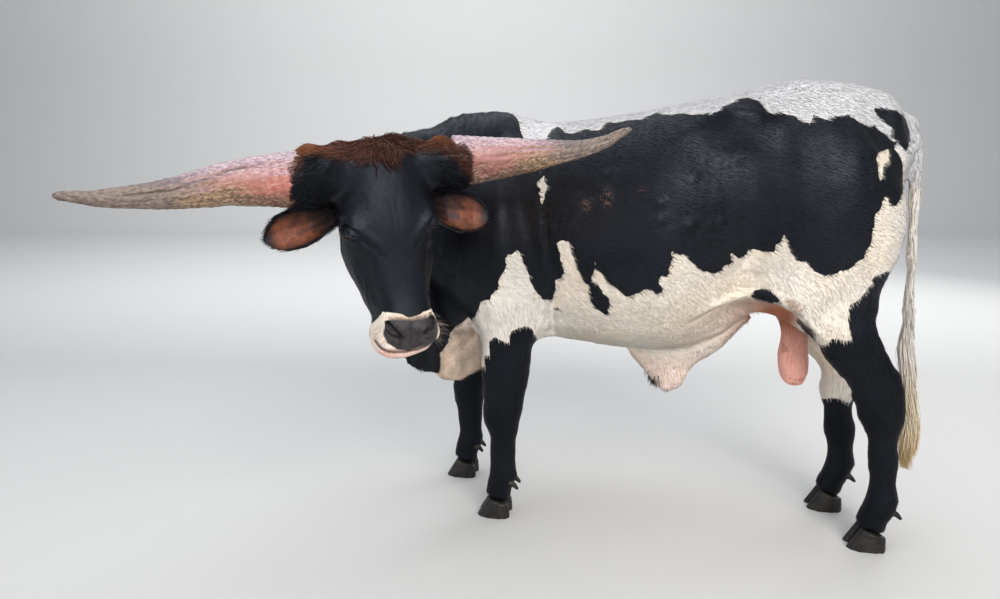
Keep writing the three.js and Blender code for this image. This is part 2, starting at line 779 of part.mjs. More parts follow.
const LID_LENGTH = 25;
const LID_OPEN = 6;
function lidSolid(side, rise, thick) {
  const { skin, out, long, short } = eyePlan(side);
  const points = steps(7, -1, 1).map((s) =>
    skin
      .clone()
      .addScaledVector(long, s * LID_LENGTH)
      .addScaledVector(short, rise * (1 - s * s))
      .addScaledVector(out, -1 - 7 * s * s)
      .applyMatrix4(headTurn),
  );
  const section = (t) => oval(6, thick * (1.1 - Math.abs(2 * t - 1) ** 2), thick * 0.9);
  return loft(points, section, () => headWay(...short.toArray()));
}

// A lock of hair: a flat blade that tapers from its sunk root to its tip
function lockSolid(points, wide, thick, across) {
  const taper = track([0, 0.7], [0.3, 1], [0.7, 0.72], [1, 0.12]);
  return loft(points, (t) => oval(4, wide * taper(t), thick * taper(t)), () => across);
}

// Poll hair: tousled locks that lie from the crest ahead over the forehead and out over the bosses
const POLL_LOCKS = 19;
const POLL_HALF = 168; // how far out to each side the locks grow
function pollLocks() {
  const draw = drawFrom(7);
  const lift = track([0, -9], [0.25, 3], [0.6, 8], [1, 3]);
  const reach = (y, turn) => {
    const share = clamp(Math.abs(y) / HORN_ROOT.y, 0, 1);
    const from = V(lerp(-80, -60, share), y, lerp(-54, -80, share));
    const way = V(Math.sin(turn), 0, Math.cos(turn));
    const skin = skinAlong(headShape, from, way, 200, 2);
    return { from, way, skin: Math.max(skin, bossRadius(clamp((share - 0.18) / 0.82, 0, 1))) };
  };
  return Array.from({ length: POLL_LOCKS }, (_, i) => {
    const share = (i + 0.5) / POLL_LOCKS;
    const y0 = lerp(-POLL_HALF, POLL_HALF, share) + 10 * (draw() - 0.5);
    const turn0 = lerp(-0.45, 0.7, (i * 0.618) % 1) + 0.2 * (draw() - 0.5);
    const swing = lerp(0.7, 1.15, draw());
    const drift = 34 * Math.sign(y0) + 46 * (draw() - 0.4);
    const points = steps(5, 0, 1).map((s) => {
      const { from, way, skin } = reach(y0 + drift * s, turn0 + swing * s);
      return headPoint(...from.addScaledVector(way, skin + lift(s)).toArray());
    });
    return lockSolid(points, lerp(15, 22, draw()), 4.5, headWay(0, 1, 0));
  });
}

// Head
const HEAD_COUNT = 29;
const headLevels = [
  ...steps(8, 4, 150),
  ...steps(7, 174, 330),
  ...steps(11, 352, HEAD_LENGTH - 4),
];
const headFrames = headLevels.map((t) => ({
  centre: headPoint(faceLevel(t), 0, -t),
  across: headWay(0, 1, 0),
  up: headWay(1, 0, 0),
}));
const headInside = (p) => Math.max(bodyForm(p), behind(HEAD_CUT, p) - 30);
let headSolid = castSolid(headInside, headFrames, HEAD_COUNT, 330);

// The line of the mouth: a thin slit round the muzzle, as deep as the lips
const MOUTH_CORNER = [-126, -450];
const MOUTH_FRONT = [-58, -541];
const MOUTH_OPEN = 4;
const LIP_DEPTH = 11;
const mouthOutline = new THREE.Shape(
  [
    [MOUTH_CORNER[0], MOUTH_CORNER[1]],
    [MOUTH_FRONT[0], MOUTH_FRONT[1]],
    [MOUTH_FRONT[0] + 30, MOUTH_FRONT[1] - 42],
    [MOUTH_FRONT[0] + 24, MOUTH_FRONT[1] - 42 - MOUTH_OPEN],
    [MOUTH_FRONT[0] - MOUTH_OPEN, MOUTH_FRONT[1] - MOUTH_OPEN],
  ].map(([x, z]) => new THREE.Vector2(x, z)),
);
const mouthPlate = solid(
  new THREE.ExtrudeGeometry(mouthOutline, { depth: 240, bevelEnabled: false })
    .rotateX(Math.PI / 2)
    .translate(0, 120, 0)
    .applyMatrix4(headTurn),
);
const muzzleCore = castSolid(
  (p) => bodyForm(p) + LIP_DEPTH,
  headFrames.slice(-9, -1),
  14,
  160,
);
headSolid = headSolid.subtract(mouthPlate.subtract(muzzleCore));

// Nostrils
const NOSTRIL = { y: 47, z: -486, long: 17, wide: 8, deep: 24 };
for (const side of [1, -1]) {
  const from = V(-70, side * NOSTRIL.y, NOSTRIL.z);
  const out = V(1, 0, 0);
  const skin = from.clone().addScaledVector(out, skinAlong(headShape, from, out, 120, 2));
  const long = V(-0.2, side * 0.5, 0.8).normalize();
  const wide = out.clone().cross(long).normalize();
  const deep = long.clone().cross(wide);
  headSolid = headSolid.subtract(
    eggSolid(skin, [long, wide, deep], [NOSTRIL.long, NOSTRIL.wide, NOSTRIL.deep]),
  );
}
headSolid = union(headSolid, bossSolid(1), bossSolid(-1), ...pollLocks());
for (const side of [1, -1]) {
  const { skin, out, long, short } = eyePlan(side);
  headSolid = headSolid
    .subtract(eggSolid(skin, [long, short, out], [LID_LENGTH - 2, LID_OPEN, 14]))
    .add(lidSolid(side, LID_OPEN + 3, 5))
    .add(lidSolid(side, -LID_OPEN - 2, 3.4))
    .subtract(eyeSolid(side, GAP))
    .subtract(hornSolid(side, GAP))
    .subtract(earSolid(side, 2 * GAP));
}

// Tail
const TAIL_COUNT = 8;
const tailLine = new THREE.CatmullRomCurve3(
  [
    V(14, 0, 1316),
    V(-34, 0, 1296),
    V(-66, 0, 1220),
    V(-78, 0, 1070),
    V(-88, 0, 890),
    V(-102, 0, 700),
    V(-112, 0, 590),
  ],
  false,
  "centripetal",
);
const tailRadius = track([0, 32], [0.08, 31], [0.16, 26], [0.35, 19], [0.6, 15], [0.85, 14], [1, 17]);
const tailSolid = (extra) =>
  loft(
    tailLine.getSpacedPoints(12),
    (t) => oval(TAIL_COUNT, tailRadius(t) + extra, tailRadius(t) + extra),
    () => V(0, 1, 0),
  );

const SWITCH_CORE_END = 395;
const switchLine = new THREE.CatmullRomCurve3([
  V(-112, 0, 590 - GAP),
  V(-119, 0, 520),
  V(-126, 2, 450),
  V(-132, 3, SWITCH_CORE_END),
]);
const switchRadius = track([0, 18], [0.3, 22], [0.7, 20], [1, 6]);
const switchCore = loft(
  switchLine.getSpacedPoints(6),
  (t) => oval(TAIL_COUNT, switchRadius(t), switchRadius(t)),
  () => V(0, 1, 0),
);

// The switch's locks hang from the core and close in toward their tips
const SWITCH_LOCKS = 8;
function switchLocks() {
  const draw = drawFrom(11);
  const middle = track([TAIL_END, -146], [SWITCH_CORE_END, -132], [450, -126], [590, -112]);
  const spread = track([0, 0.55], [0.2, 1.15], [0.55, 1.25], [1, 0.35]);
  return Array.from({ length: SWITCH_LOCKS }, (_, i) => {
    const turn = i * 2.4;
    const from = lerp(560, 440, i / (SWITCH_LOCKS - 1));
    const to = i % 4 === 3 ? TAIL_END : lerp(TAIL_END + 8, 320, draw());
    const wave = 5 * (draw() - 0.5);
    const points = steps(5, 0, 1).map((s) => {
      const z = lerp(from, to, s);
      const out = 19 * spread(s);
      const bend = wave * Math.sin(5 * s);
      return V(middle(z) + out * Math.cos(turn) + bend, out * Math.sin(turn) - bend, z);
    });
    return lockSolid(points, lerp(13, 18, draw()), 6, V(-Math.sin(turn), Math.cos(turn), 0));
  });
}
const switchSolid = union(switchCore, ...switchLocks());

// Sheath: a hanging flap of skin under the belly, drawn from level sections downward
const sheathFront = track(
  [424, 612], [440, 646], [470, 676], [510, 708], [540, 736], [580, 766],
  [650, 800],
);
const sheathRear = track(
  [424, 582], [440, 540], [470, 522], [510, 509], [540, 480], [580, 424],
  [650, 350],
);
const sheathHalf = track(
  [424, 14], [440, 24], [470, 29], [510, 33], [540, 38], [580, 50], [650, 92],
);
const sheathSolid = (extra) =>
  ringSolid(
    [650, 605, 565, 530, 495, 465, 442, 426].map((z) => {
      const half = (sheathFront(z) - sheathRear(z)) / 2;
      const middle = (sheathFront(z) + sheathRear(z)) / 2;
      return oval(12, half + extra, sheathHalf(z) + extra).map(([u, v]) => V(middle + u, v, z));
    }),
    V(575, 0, 650 + extra),
    V(597, 0, 422 - extra),
  );

// Scrotum: two lobes on a narrow neck between the thighs
const scrotumFront = track(
  [470, 236], [490, 258], [530, 272], [570, 276], [620, 268], [680, 280],
  [790, 310],
);
const scrotumRear = track(
  [470, 196], [490, 180], [530, 171], [570, 173], [620, 180], [680, 190],
  [790, 200],
);
const scrotumHalf = track(
  [470, 22], [490, 43], [530, 54], [570, 53], [620, 42], [680, 36], [790, 40],
);
const scrotumSolid = (extra) =>
  ringSolid(
    [790, 720, 665, 620, 580, 545, 515, 490, 474].map((z) => {
      const half = (scrotumFront(z) - scrotumRear(z)) / 2;
      const middle = (scrotumFront(z) + scrotumRear(z)) / 2;
      const cleft = clamp((640 - z) / 60, 0, 1) * 0.16;
      return oval(14, half + extra, scrotumHalf(z) + extra).map(([u, v]) => {
        const near = 1 - clamp(Math.abs(v) / 16, 0, 1);
        return V(middle + u * (1 - cleft * near), v, z);
      });
    }),
    V(255, 0, 790 + extra),
    V(216, 0, 472 - extra),
  );

// Feet
const CORONET = { rise: 62, normal: V(-0.31, 0, 0.95) };
const CLAW = { toe: 66, heel: -50, half: 23.5, apart: 27.5, top: 92 };
function clawSolid({ foot }, outer) {
  const rings = [CLAW.top, 46, 16, 0].map((z) => {
    const toe = CLAW.toe - 0.6 * z;
    const heel = CLAW.heel + 0.08 * z;
    const half = CLAW.half - 0.03 * z;
    return oval(10, (toe - heel) / 2, half, 2.4).map(([u, v]) => {
      const ahead = clamp(u / ((toe - heel) / 2), 0, 1);
      const y = CLAW.apart + v - 7 * ahead * ahead;
      return V(foot.x + (toe + heel) / 2 + u, foot.y + outer * Math.max(y, 3.5), z);
    });
  });
  const middle = foot.y + outer * CLAW.apart;
  return ringSolid(rings, V(foot.x, middle, CLAW.top), V(foot.x + 8, middle, 0));
}

function dewclawSolid({ foot }, joint, outer, extra) {
  const y = foot.y + outer * 23;
  const points = [
    V(joint.x - 20 + extra, y, joint.z - 16),
    V(joint.x - 40, y + outer * 2, joint.z - 24),
    V(joint.x - 53, y + outer * 3, joint.z - 38),
  ];
  return loft(points, (t) => oval(7, lerp(15, 6, t) + extra, lerp(13, 5, t) + extra), () => V(0, 1, 0));
}

// The finished solids, each in its colour
const group = new THREE.Group();
const paint = {
  hide_dark: { color: 0x17171b, roughness: 0.6 },
  hide_light: { color: 0xd9d2c6, roughness: 0.7 },
  bare_skin: { color: 0xd98f7c, roughness: 0.6 },
  horn: { color: 0xb98f86, roughness: 0.45 },
  hoof: { color: 0x2b2724, roughness: 0.5 },
  eye: { color: 0x0d0a09, roughness: 0.1 },
  hair: { color: 0xd8c09a, roughness: 0.8 },
};
function place(name, made, material) {
  const body = largest(made);
  const { vertProperties, triVerts, numProp } = body.getMesh();
  const points = new Float32Array(body.numVert() * 3);
  for (let i = 0; i < points.length / 3; i += 1) {
    points.set(vertProperties.subarray(i * numProp, i * numProp + 3), i * 3);
  }
  const loose = new THREE.BufferGeometry()
    .setAttribute("position", new THREE.BufferAttribute(points, 3))
    .setIndex(new THREE.BufferAttribute(triVerts, 1));
  const geometry = mergeVertices(loose, WELD);
  const corners = Array.from(geometry.index.array);
  const whole = corners.filter((_, i) => {
    const [a, b, c] = corners.slice(i - (i % 3), i - (i % 3) + 3);
    return a !== b && b !== c && c !== a;
  });
  geometry.setIndex(whole);
  const mesh = new THREE.Mesh(geometry, new THREE.MeshStandardMaterial(material));
  mesh.name = name;
  group.add(mesh);
}

place("head", keep(headSolid, HEAD_CUT), paint.hide_dark);
place("neck", neckSolid, paint.hide_dark);
for (const [name, side] of [["left", 1], ["right", -1]]) {
  place(`ear_${name}`, earSolid(side, 0).subtract(headSolid), paint.hide_dark);
  place(`horn_${name}`, hornSolid(side, 0), paint.horn);
  place(`eye_${name}`, eyeSolid(side, 0), paint.eye);
}

let torsoSolid = keep(trunkSolid.add(dewlap), flip(NECK_CUT));
for (const [name, leg] of Object.entries(LEGS)) {
  const j = leg.fore ? foreJoints(leg) : hindJoints(leg);
  const top = leg.fore ? j.forearm : j.shank.clone().lerp(j.hock, 0.3);
  const line = leg.fore
    ? [top, j.knee, j.kneeLow, j.cannon, j.fetlock, j.pastern]
    : [top, j.hock, j.hockLow, j.cannon, j.fetlock, j.pastern];
  line.push(j.pastern.clone().setZ(40));
  const points = new THREE.CatmullRomCurve3(line, false, "centripetal").getSpacedPoints(19);
  const up = points[0].clone().sub(points[1]).normalize();
  const rest = { point: top, normal: up };
  points.unshift(top.clone().addScaledVector(up, 14));
  const inside = (p) => bodyForm(p) + (behind(rest, p) < -1 ? 10 : 0);
  const lower = castSolid(inside, framesAlong(points, () => V(0, 1, 0)), 12, 140);
  const upper = torsoSolid.intersect(legBlock(leg, GAP / 2));
  let limbSolid = upper.trimByPlane(up.toArray(), up.dot(top)).add(lower);
  const coronet = { point: leg.foot.clone().setZ(CORONET.rise), normal: CORONET.normal };
  limbSolid = keep(limbSolid, coronet);
  for (const [part, outer] of [["outer", leg.side], ["inner", -leg.side]]) {
    limbSolid = limbSolid.subtract(dewclawSolid(leg, j.fetlock, outer, GAP));
    place(`claw_${name}_${part}`, keep(clawSolid(leg, outer), flip(coronet)), paint.hoof);
    place(`dewclaw_${name}_${part}`, dewclawSolid(leg, j.fetlock, outer, 0), paint.hoof);
  }
  place(`leg_${name}`, limbSolid.subtract(scrotumSolid(GAP)), paint.hide_dark);
  torsoSolid = torsoSolid.subtract(legBlock(leg, -GAP / 2));
}
torsoSolid = torsoSolid.subtract(tailSolid(GAP)).subtract(sheathSolid(GAP)).subtract(scrotumSolid(GAP));
place("torso", torsoSolid, paint.hide_light);
place("tail", tailSolid(0), paint.hide_light);
place("tail_switch", switchSolid, paint.hair);
place("sheath", sheathSolid(0), paint.bare_skin);
place("scrotum", scrotumSolid(0), paint.bare_skin);

group.rotation.z = Math.PI;
const box = new THREE.Box3().setFromObject(group);
group.position.set(-(box.min.x + box.max.x) / 2, -(box.min.y + box.max.y) / 2, -box.min.z);
export default group;
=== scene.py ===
"""Looks of a life-size longhorn bull: one skin with its short coat, long hair, horns, claws, eyes."""

import json
import math

import bmesh
import bpy
import numpy as np
from bpy.props import FloatProperty, FloatVectorProperty, PointerProperty
from bpy.types import Operator, Panel, PropertyGroup
from mathutils import Matrix, Vector
from mathutils.bvhtree import BVHTree
from mathutils.kdtree import KDTree

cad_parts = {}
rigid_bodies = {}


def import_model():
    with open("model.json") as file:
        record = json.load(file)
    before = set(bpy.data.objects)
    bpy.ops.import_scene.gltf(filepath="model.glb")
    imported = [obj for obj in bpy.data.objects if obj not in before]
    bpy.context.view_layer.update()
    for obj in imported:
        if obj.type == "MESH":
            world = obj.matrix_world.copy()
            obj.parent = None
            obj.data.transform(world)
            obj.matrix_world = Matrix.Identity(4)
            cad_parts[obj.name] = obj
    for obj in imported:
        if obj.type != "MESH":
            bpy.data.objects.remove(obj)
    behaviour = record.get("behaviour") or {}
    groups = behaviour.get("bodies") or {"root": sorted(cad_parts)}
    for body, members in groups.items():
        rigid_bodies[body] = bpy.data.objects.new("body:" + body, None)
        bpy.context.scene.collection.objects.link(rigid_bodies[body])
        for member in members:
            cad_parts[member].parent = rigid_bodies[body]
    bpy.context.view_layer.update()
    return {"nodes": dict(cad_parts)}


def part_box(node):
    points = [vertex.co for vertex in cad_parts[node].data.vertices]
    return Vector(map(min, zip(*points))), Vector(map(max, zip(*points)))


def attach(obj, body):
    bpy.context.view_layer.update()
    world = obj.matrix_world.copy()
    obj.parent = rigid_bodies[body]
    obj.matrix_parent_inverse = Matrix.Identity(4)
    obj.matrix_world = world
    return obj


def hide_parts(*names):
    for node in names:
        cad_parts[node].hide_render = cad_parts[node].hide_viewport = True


bl_info = {
    "name": "Longhorn bull",
    "version": (1, 0, 0),
    "blender": (4, 5, 0),
    "location": "View3D > Sidebar > Bull",
    "description": "Builds the skin, coat, hair, horns, claws and eyes of a longhorn bull",
    "category": "Object",
}

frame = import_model()

# The body's frame: X ahead from the hind feet, Y to its own left, Z up, in metres.
# The head's frame: X out of the forehead, Y to its left, Z up the face, poll at 0.
POLL = Vector((1.370, 0.611, 1.250))
HIND_CLAW_REAR = -0.062  # how far behind the hind feet's line the left hind claw reaches
HEAD_TURN = (
    Matrix.Rotation(math.radians(124), 3, "Z")
    @ Matrix.Rotation(math.radians(-10.5), 3, "Y")
    @ Matrix.Rotation(math.radians(6), 3, "X")
)
LEGS = ("fore_left", "fore_right", "hind_left", "hind_right")
SIDES = {"left": 1, "right": -1}
FLESH = ("head", "neck", "torso", "tail", "sheath", "scrotum") + tuple("leg_" + leg for leg in LEGS)


def middle(node):
    low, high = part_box(node)
    return (low + high) / 2


def find_shift():
    """Where the body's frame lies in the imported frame, from a claw and the tail."""
    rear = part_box("claw_hind_left_outer")[1].x
    return Vector((rear + HIND_CLAW_REAR, middle("tail").y, 0))


SHIFT = find_shift()
BODY = Matrix.Translation(SHIFT) @ Matrix.Rotation(math.pi, 4, "Z")
HEAD = BODY @ Matrix.Translation(POLL) @ HEAD_TURN.to_4x4()


# Numbers
def moved(points, matrix):
    turn = np.array(matrix.to_3x3())
    return np.asarray(points, float) @ turn.T + np.array(matrix.translation)


def turned(ways, matrix):
    return np.asarray(ways, float) @ np.array(matrix.to_3x3()).T


def step(low, high, value):
    t = np.clip((value - low) / (high - low), 0, 1)
    return t * t * (3 - 2 * t)


def bell(value, width):
    return np.exp(-((value / width) ** 2))


def track(pairs):
    places, levels = zip(*pairs)
    return lambda value: np.interp(value, places, levels)


def lengths(ways):
    return np.linalg.norm(ways, axis=-1, keepdims=True)


def unit(ways):
    return ways / np.maximum(lengths(ways), 1e-9)


def waves(points, scale, seed, octaves=3):
    """A smooth random number from about -1 to 1 at each place."""
    draw = np.random.default_rng(seed)
    total = np.zeros(len(points))
    for octave in range(octaves):
        for _ in range(7):
            way = draw.normal(size=3)
            way *= 2 * math.pi / (scale * np.linalg.norm(way)) * draw.uniform(0.6, 1.5) * 2**octave
            total += np.sin(points @ way + draw.uniform(0, 6.3)) * 0.42 / 1.7**octave
    return total


def outline_depth(x, y, outline):
    """Distance inside a closed outline, below 0 outside it."""
    corners = np.array(outline, float)
    following = np.roll(corners, -1, axis=0)
    best = np.full(len(x), 1e9)
    inside = np.zeros(len(x), bool)
    for (ax, ay), (bx, by) in zip(corners, following):
        dx, dy = bx - ax, by - ay
        t = np.clip(((x - ax) * dx + (y - ay) * dy) / (dx * dx + dy * dy + 1e-12), 0, 1)
        best = np.minimum(best, np.hypot(x - ax - t * dx, y - ay - t * dy))
        crossing = (ay > y) != (by > y)
        inside ^= crossing & (x < ax + (y - ay) * dx / (dy if dy else 1e-12))
    return np.where(inside, best, -best)


def path_distance(x, y, path):
    """Distance to a line of points, and how far along it the nearest place is, from 0 to 1."""
    best = np.full(len(x), 1e9)
    along = np.zeros(len(x))
    for i, ((ax, ay), (bx, by)) in enumerate(zip(path, path[1:])):
        dx, dy = bx - ax, by - ay
        t = np.clip(((x - ax) * dx + (y - ay) * dy) / (dx * dx + dy * dy), 0, 1)
        d = np.hypot(x - ax - t * dx, y - ay - t * dy)
        along = np.where(d < best, (i + t) / (len(path) - 1), along)
        best = np.minimum(best, d)
    return best, along


def line_distance(places, path):
    """Distance in space to a line of points, and how far along it the nearest place is."""
    best = np.full(len(places), 1e9)
    along = np.zeros(len(places))
    corners = np.asarray(path, float)
    for i, (a, b) in enumerate(zip(corners, corners[1:])):
        t = np.clip((places - a) @ (b - a) / ((b - a) @ (b - a)), 0, 1)
        d = np.linalg.norm(places - a - t[:, None] * (b - a), axis=1)
        along = np.where(d < best, (i + t) / (len(corners) - 1), along)
        best = np.minimum(best, d)
    return best, along


# Meshes
def points_of(mesh):
    flat = np.empty(len(mesh.vertices) * 3, np.float32)
    mesh.vertices.foreach_get("co", flat)
    return flat.reshape(-1, 3).astype(float)


def set_points(mesh, points):
    mesh.vertices.foreach_set("co", np.ascontiguousarray(points, np.float32).ravel())
    mesh.update()


def normals_of(mesh):
    flat = np.empty(len(mesh.vertices) * 3, np.float32)
    mesh.vertex_normals.foreach_get("vector", flat)
    return flat.reshape(-1, 3).astype(float)


def edges_of(mesh):
    flat = np.empty(len(mesh.edges) * 2, np.int32)
    mesh.edges.foreach_get("vertices", flat)
    return flat.reshape(-1, 2)


def spread(values, edges, passes, share=0.5, back=0.0):
    """Evens out values over a mesh, with a step back after each pass where shape has to last."""
    values = np.array(values, float).reshape(len(values), -1)
    count = len(values)
    share = np.broadcast_to(np.asarray(share, float).reshape(-1, 1), (count, 1))
    near = np.maximum(np.bincount(edges.ravel(), minlength=count), 1)[:, None]
    for _ in range(passes):
        for part in (1.0, back) if back else (1.0,):
            total = np.empty_like(values)
            for axis in range(values.shape[1]):
                column = values[:, axis]
                total[:, axis] = np.bincount(edges[:, 0], column[edges[:, 1]], count)
                total[:, axis] += np.bincount(edges[:, 1], column[edges[:, 0]], count)
            values = values + part * share * (total / near - values)
    return values


def store(mesh, name, values):
    values = np.ascontiguousarray(values, np.float32)
    kind = "FLOAT_VECTOR" if values.ndim > 1 else "FLOAT"
    attribute = mesh.attributes.get(name) or mesh.attributes.new(name, kind, "POINT")
    attribute.data.foreach_set("vector" if values.ndim > 1 else "value", values.ravel())


def link(name, mesh, *materials):
    mesh.materials.clear()
    for material in materials:
        mesh.materials.append(material)
    mesh.polygons.foreach_set("use_smooth", np.ones(len(mesh.polygons), bool))
    obj = bpy.data.objects.new(name, mesh)
    bpy.context.scene.collection.objects.link(obj)
    return obj


def drop(obj):
    mesh = obj.data
    bpy.data.objects.remove(obj)
    if mesh.users == 0:
        bpy.data.meshes.remove(mesh)


def baked(obj, name):
    """A plain mesh of what an object's modifiers give. The object goes."""
    graph = bpy.context.evaluated_depsgraph_get()
    mesh = bpy.data.meshes.new_from_object(obj.evaluated_get(graph), depsgraph=graph)
    mesh.name = name
    drop(obj)
    return mesh


def welded(nodes, grow=0.0):
    """One bmesh of copies of solid nodes, each welded, and grown so that they meet."""
    whole = bmesh.new()
    for node in nodes:
        part = bmesh.new()
        part.from_mesh(frame["nodes"][node].data)
        bmesh.ops.remove_doubles(part, verts=part.verts, dist=2e-5)
        part.normal_update()
        for vert in part.verts:
            vert.co += vert.normal * grow
        copy = bpy.data.meshes.new("part")
        part.to_mesh(copy)
        part.free()
        whole.from_mesh(copy)
        bpy.data.meshes.remove(copy)
    return whole


def mesh_from(name, points, faces):
    mesh = bpy.data.meshes.new(name)
    mesh.from_pydata([tuple(p) for p in points], [], [tuple(f) for f in faces])
    mesh.update()
    return mesh


def curve_points(knots, count):
    """Evenly spaced places on a smooth line through the knots."""
    knots = np.asarray(knots, float)
    padded = np.vstack([2 * knots[0] - knots[1], knots, 2 * knots[-1] - knots[-2]])
    fine = []
    for i in range(len(knots) - 1):
        a, b, c, d = padded[i : i + 4]
        for t in np.linspace(0, 1, 40, endpoint=False):
            fine.append(
                0.5
                * (
                    2 * b
                    + (c - a) * t
                    + (2 * a - 5 * b + 4 * c - d) * t**2
                    + (3 * b - a - 3 * c + d) * t**3
                )
            )
    fine = np.array([*fine, knots[-1]])
    run = np.concatenate([[0], np.cumsum(np.linalg.norm(np.diff(fine, axis=0), axis=1))])
    even = np.linspace(0, run[-1], count)
    return np.stack([np.interp(even, run, fine[:, axis]) for axis in range(3)], axis=1)


def loft(rings):
    """Points and faces of a closed skin over rings of equal count, with a fan at each end."""
    rings = np.asarray(rings, float)
    rows, count = rings.shape[:2]
    points = [*rings.reshape(-1, 3), rings[0].mean(axis=0), rings[-1].mean(axis=0)]
    faces = []
    for row in range(rows - 1):
        for i in range(count):
            j = (i + 1) % count
            a, b = row * count, (row + 1) * count
            faces.append((a + i, a + j, b + j, b + i))
    last = (rows - 1) * count
    for i in range(count):
        j = (i + 1) % count
        faces.append((rows * count, j, i))
        faces.append((rows * count + 1, last + i, last + j))
    return points, faces


def face_out(mesh):
    """Turns a closed mesh's faces outward."""
    shape = bmesh.new()
    shape.from_mesh(mesh)
    bmesh.ops.recalc_face_normals(shape, faces=shape.faces)
    if shape.calc_volume(signed=True) < 0:
        bmesh.ops.reverse_faces(shape, faces=shape.faces)
    shape.to_mesh(mesh)
    shape.free()
    return mesh


# Materials
class Paint:
    """A small help to wire a material's nodes."""

    def __init__(self, name):
        self.material = bpy.data.materials.new(name)
        self.material.use_nodes = True
        self.tree = self.material.node_tree
        self.shader = self.tree.nodes["Principled BSDF"]

    def node(self, kind, **values):
        node = self.tree.nodes.new("ShaderNode" + kind)
        for key, value in values.items():
            setattr(node, key, value)
        return node

    def wire(self, source, target):
        self.tree.links.new(source, target)

    def put(self, socket, value):
        if isinstance(value, bpy.types.NodeSocket):
            self.wire(value, socket)
        elif isinstance(value, (tuple, list)) and socket.type == "RGBA":
            socket.default_value = (*value, 1.0)
        else:
            socket.default_value = value

    def read(self, name, output="Fac"):
        return self.node("Attribute", attribute_name=name).outputs[output]

    def place(self):
        return self.node("TexCoord").outputs["Object"]

    def scaled(self, scale, where=None):
        mapping = self.node("Mapping")
        mapping.inputs["Scale"].default_value = scale
        self.wire(where or self.place(), mapping.inputs["Vector"])
        return mapping.outputs["Vector"]

    def noise(self, scale, where=None, detail=3.0, rough=0.5, twist=0.0):
        node = self.node("TexNoise")
        node.inputs["Scale"].default_value = scale
        node.inputs["Detail"].default_value = detail
        node.inputs["Roughness"].default_value = rough
        node.inputs["Distortion"].default_value = twist
        self.wire(where or self.place(), node.inputs["Vector"])
        return node.outputs["Fac"]

    def math(self, operation, a, b=0.0, c=0.0):
        node = self.node("Math", operation=operation)
        for socket, value in zip(node.inputs, (a, b, c)):
            self.put(socket, value)
        return node.outputs[0]

    def ramp(self, value, low, high, start=0.0, end=1.0):
        node = self.node("MapRange", interpolation_type="SMOOTHSTEP")
        for socket, number in zip(node.inputs, (value, low, high, start, end)):
            self.put(socket, number)
        return node.outputs[0]

    def mix(self, share, a, b, kind="MIX"):
        node = self.node("Mix", data_type="RGBA", blend_type=kind)
        self.put(node.inputs["Factor"], share)
        self.put(node.inputs["A"], a)
        self.put(node.inputs["B"], b)
        return node.outputs["Result"]

    def bump(self, height, strength, distance, normal=None):
        node = self.node("Bump")
        node.inputs["Strength"].default_value = strength
        node.inputs["Distance"].default_value = distance
        self.wire(height, node.inputs["Height"])
        if normal:
            self.wire(normal, node.inputs["Normal"])
        return node.outputs["Normal"]

    def finish(self, **values):
        for key, value in values.items():
            self.put(self.shader.inputs[key.replace("_", " ")], value)
        return self.material


# Settings
def colour(label, value, note):
    return FloatVectorProperty(
        name=label, description=note, default=value, size=3, subtype="COLOR", min=0.0, max=1.0
    )


def distance(label, value, note):
    return FloatProperty(name=label, description=note, default=value, subtype="DISTANCE", unit="LENGTH")


class BullCoatSettings(PropertyGroup):
    # The black's slight blue tint is painted sheen of the cool sky light, laid over the hair's own black.
    black: colour("Black", (0.0055, 0.0058, 0.0078), "Colour of the black hair")
    white: colour("White", (0.83, 0.725, 0.59), "Colour of the cream hair of the flank and belly")
    roan: colour("Roan", (0.70, 0.69, 0.70), "Colour of the grey-white hair on the back")
    rust: colour("Rust", (0.086, 0.033, 0.021), "Colour of the long hair on the poll")
    tan: colour("Tan", (0.34, 0.125, 0.05), "Colour of the sunlit hair by the horns and in the ears")
    depth: distance("Coat depth", 0.005, "How far the skin lies inside the solids")


class BullSkinSettings(PropertyGroup):
    cell: distance("Cell", 0.0127, "Cell of the skin's mesh on the body")
    pink: colour("Pink", (0.82, 0.37, 0.29), "Colour of bare pink skin")
    pad: colour("Nose", (0.028, 0.0235, 0.0235), "Colour of the nose pad")
    buff: colour("Dewlap", (0.72, 0.545, 0.41), "Colour of the thin hair on the dewlap")
    lid: colour("Lids", (0.014, 0.0125, 0.013), "Colour of the bare rim of the lids")


class BullHornSettings(PropertyGroup):
    pink: colour("Rose", (0.40, 0.185, 0.165), "Colour of the horn near its root")
    # The pale tone goes on the horn's top: partly its own mottling, partly a painted highlight of the top
    # light.
    pale: colour("Pale", (0.52, 0.405, 0.42), "Colour of the pale mottling on top of the horn")
    grey: colour("Grey", (0.255, 0.20, 0.17), "Colour of the horn's end")
    hoof: colour("Hoof", (0.010, 0.009, 0.0085), "Colour of the claws")
    eye: colour("Eye", (0.011, 0.007, 0.006), "Colour of the eye")


class BullStageSettings(PropertyGroup):
    floor: colour("Floor", (0.56, 0.555, 0.545), "Colour of the studio floor")
    lens: FloatProperty(name="Lens", description="Focal length of the camera in millimetres", default=25.2)
    height: distance("Camera height", 1.2, "Height of the camera above the floor")


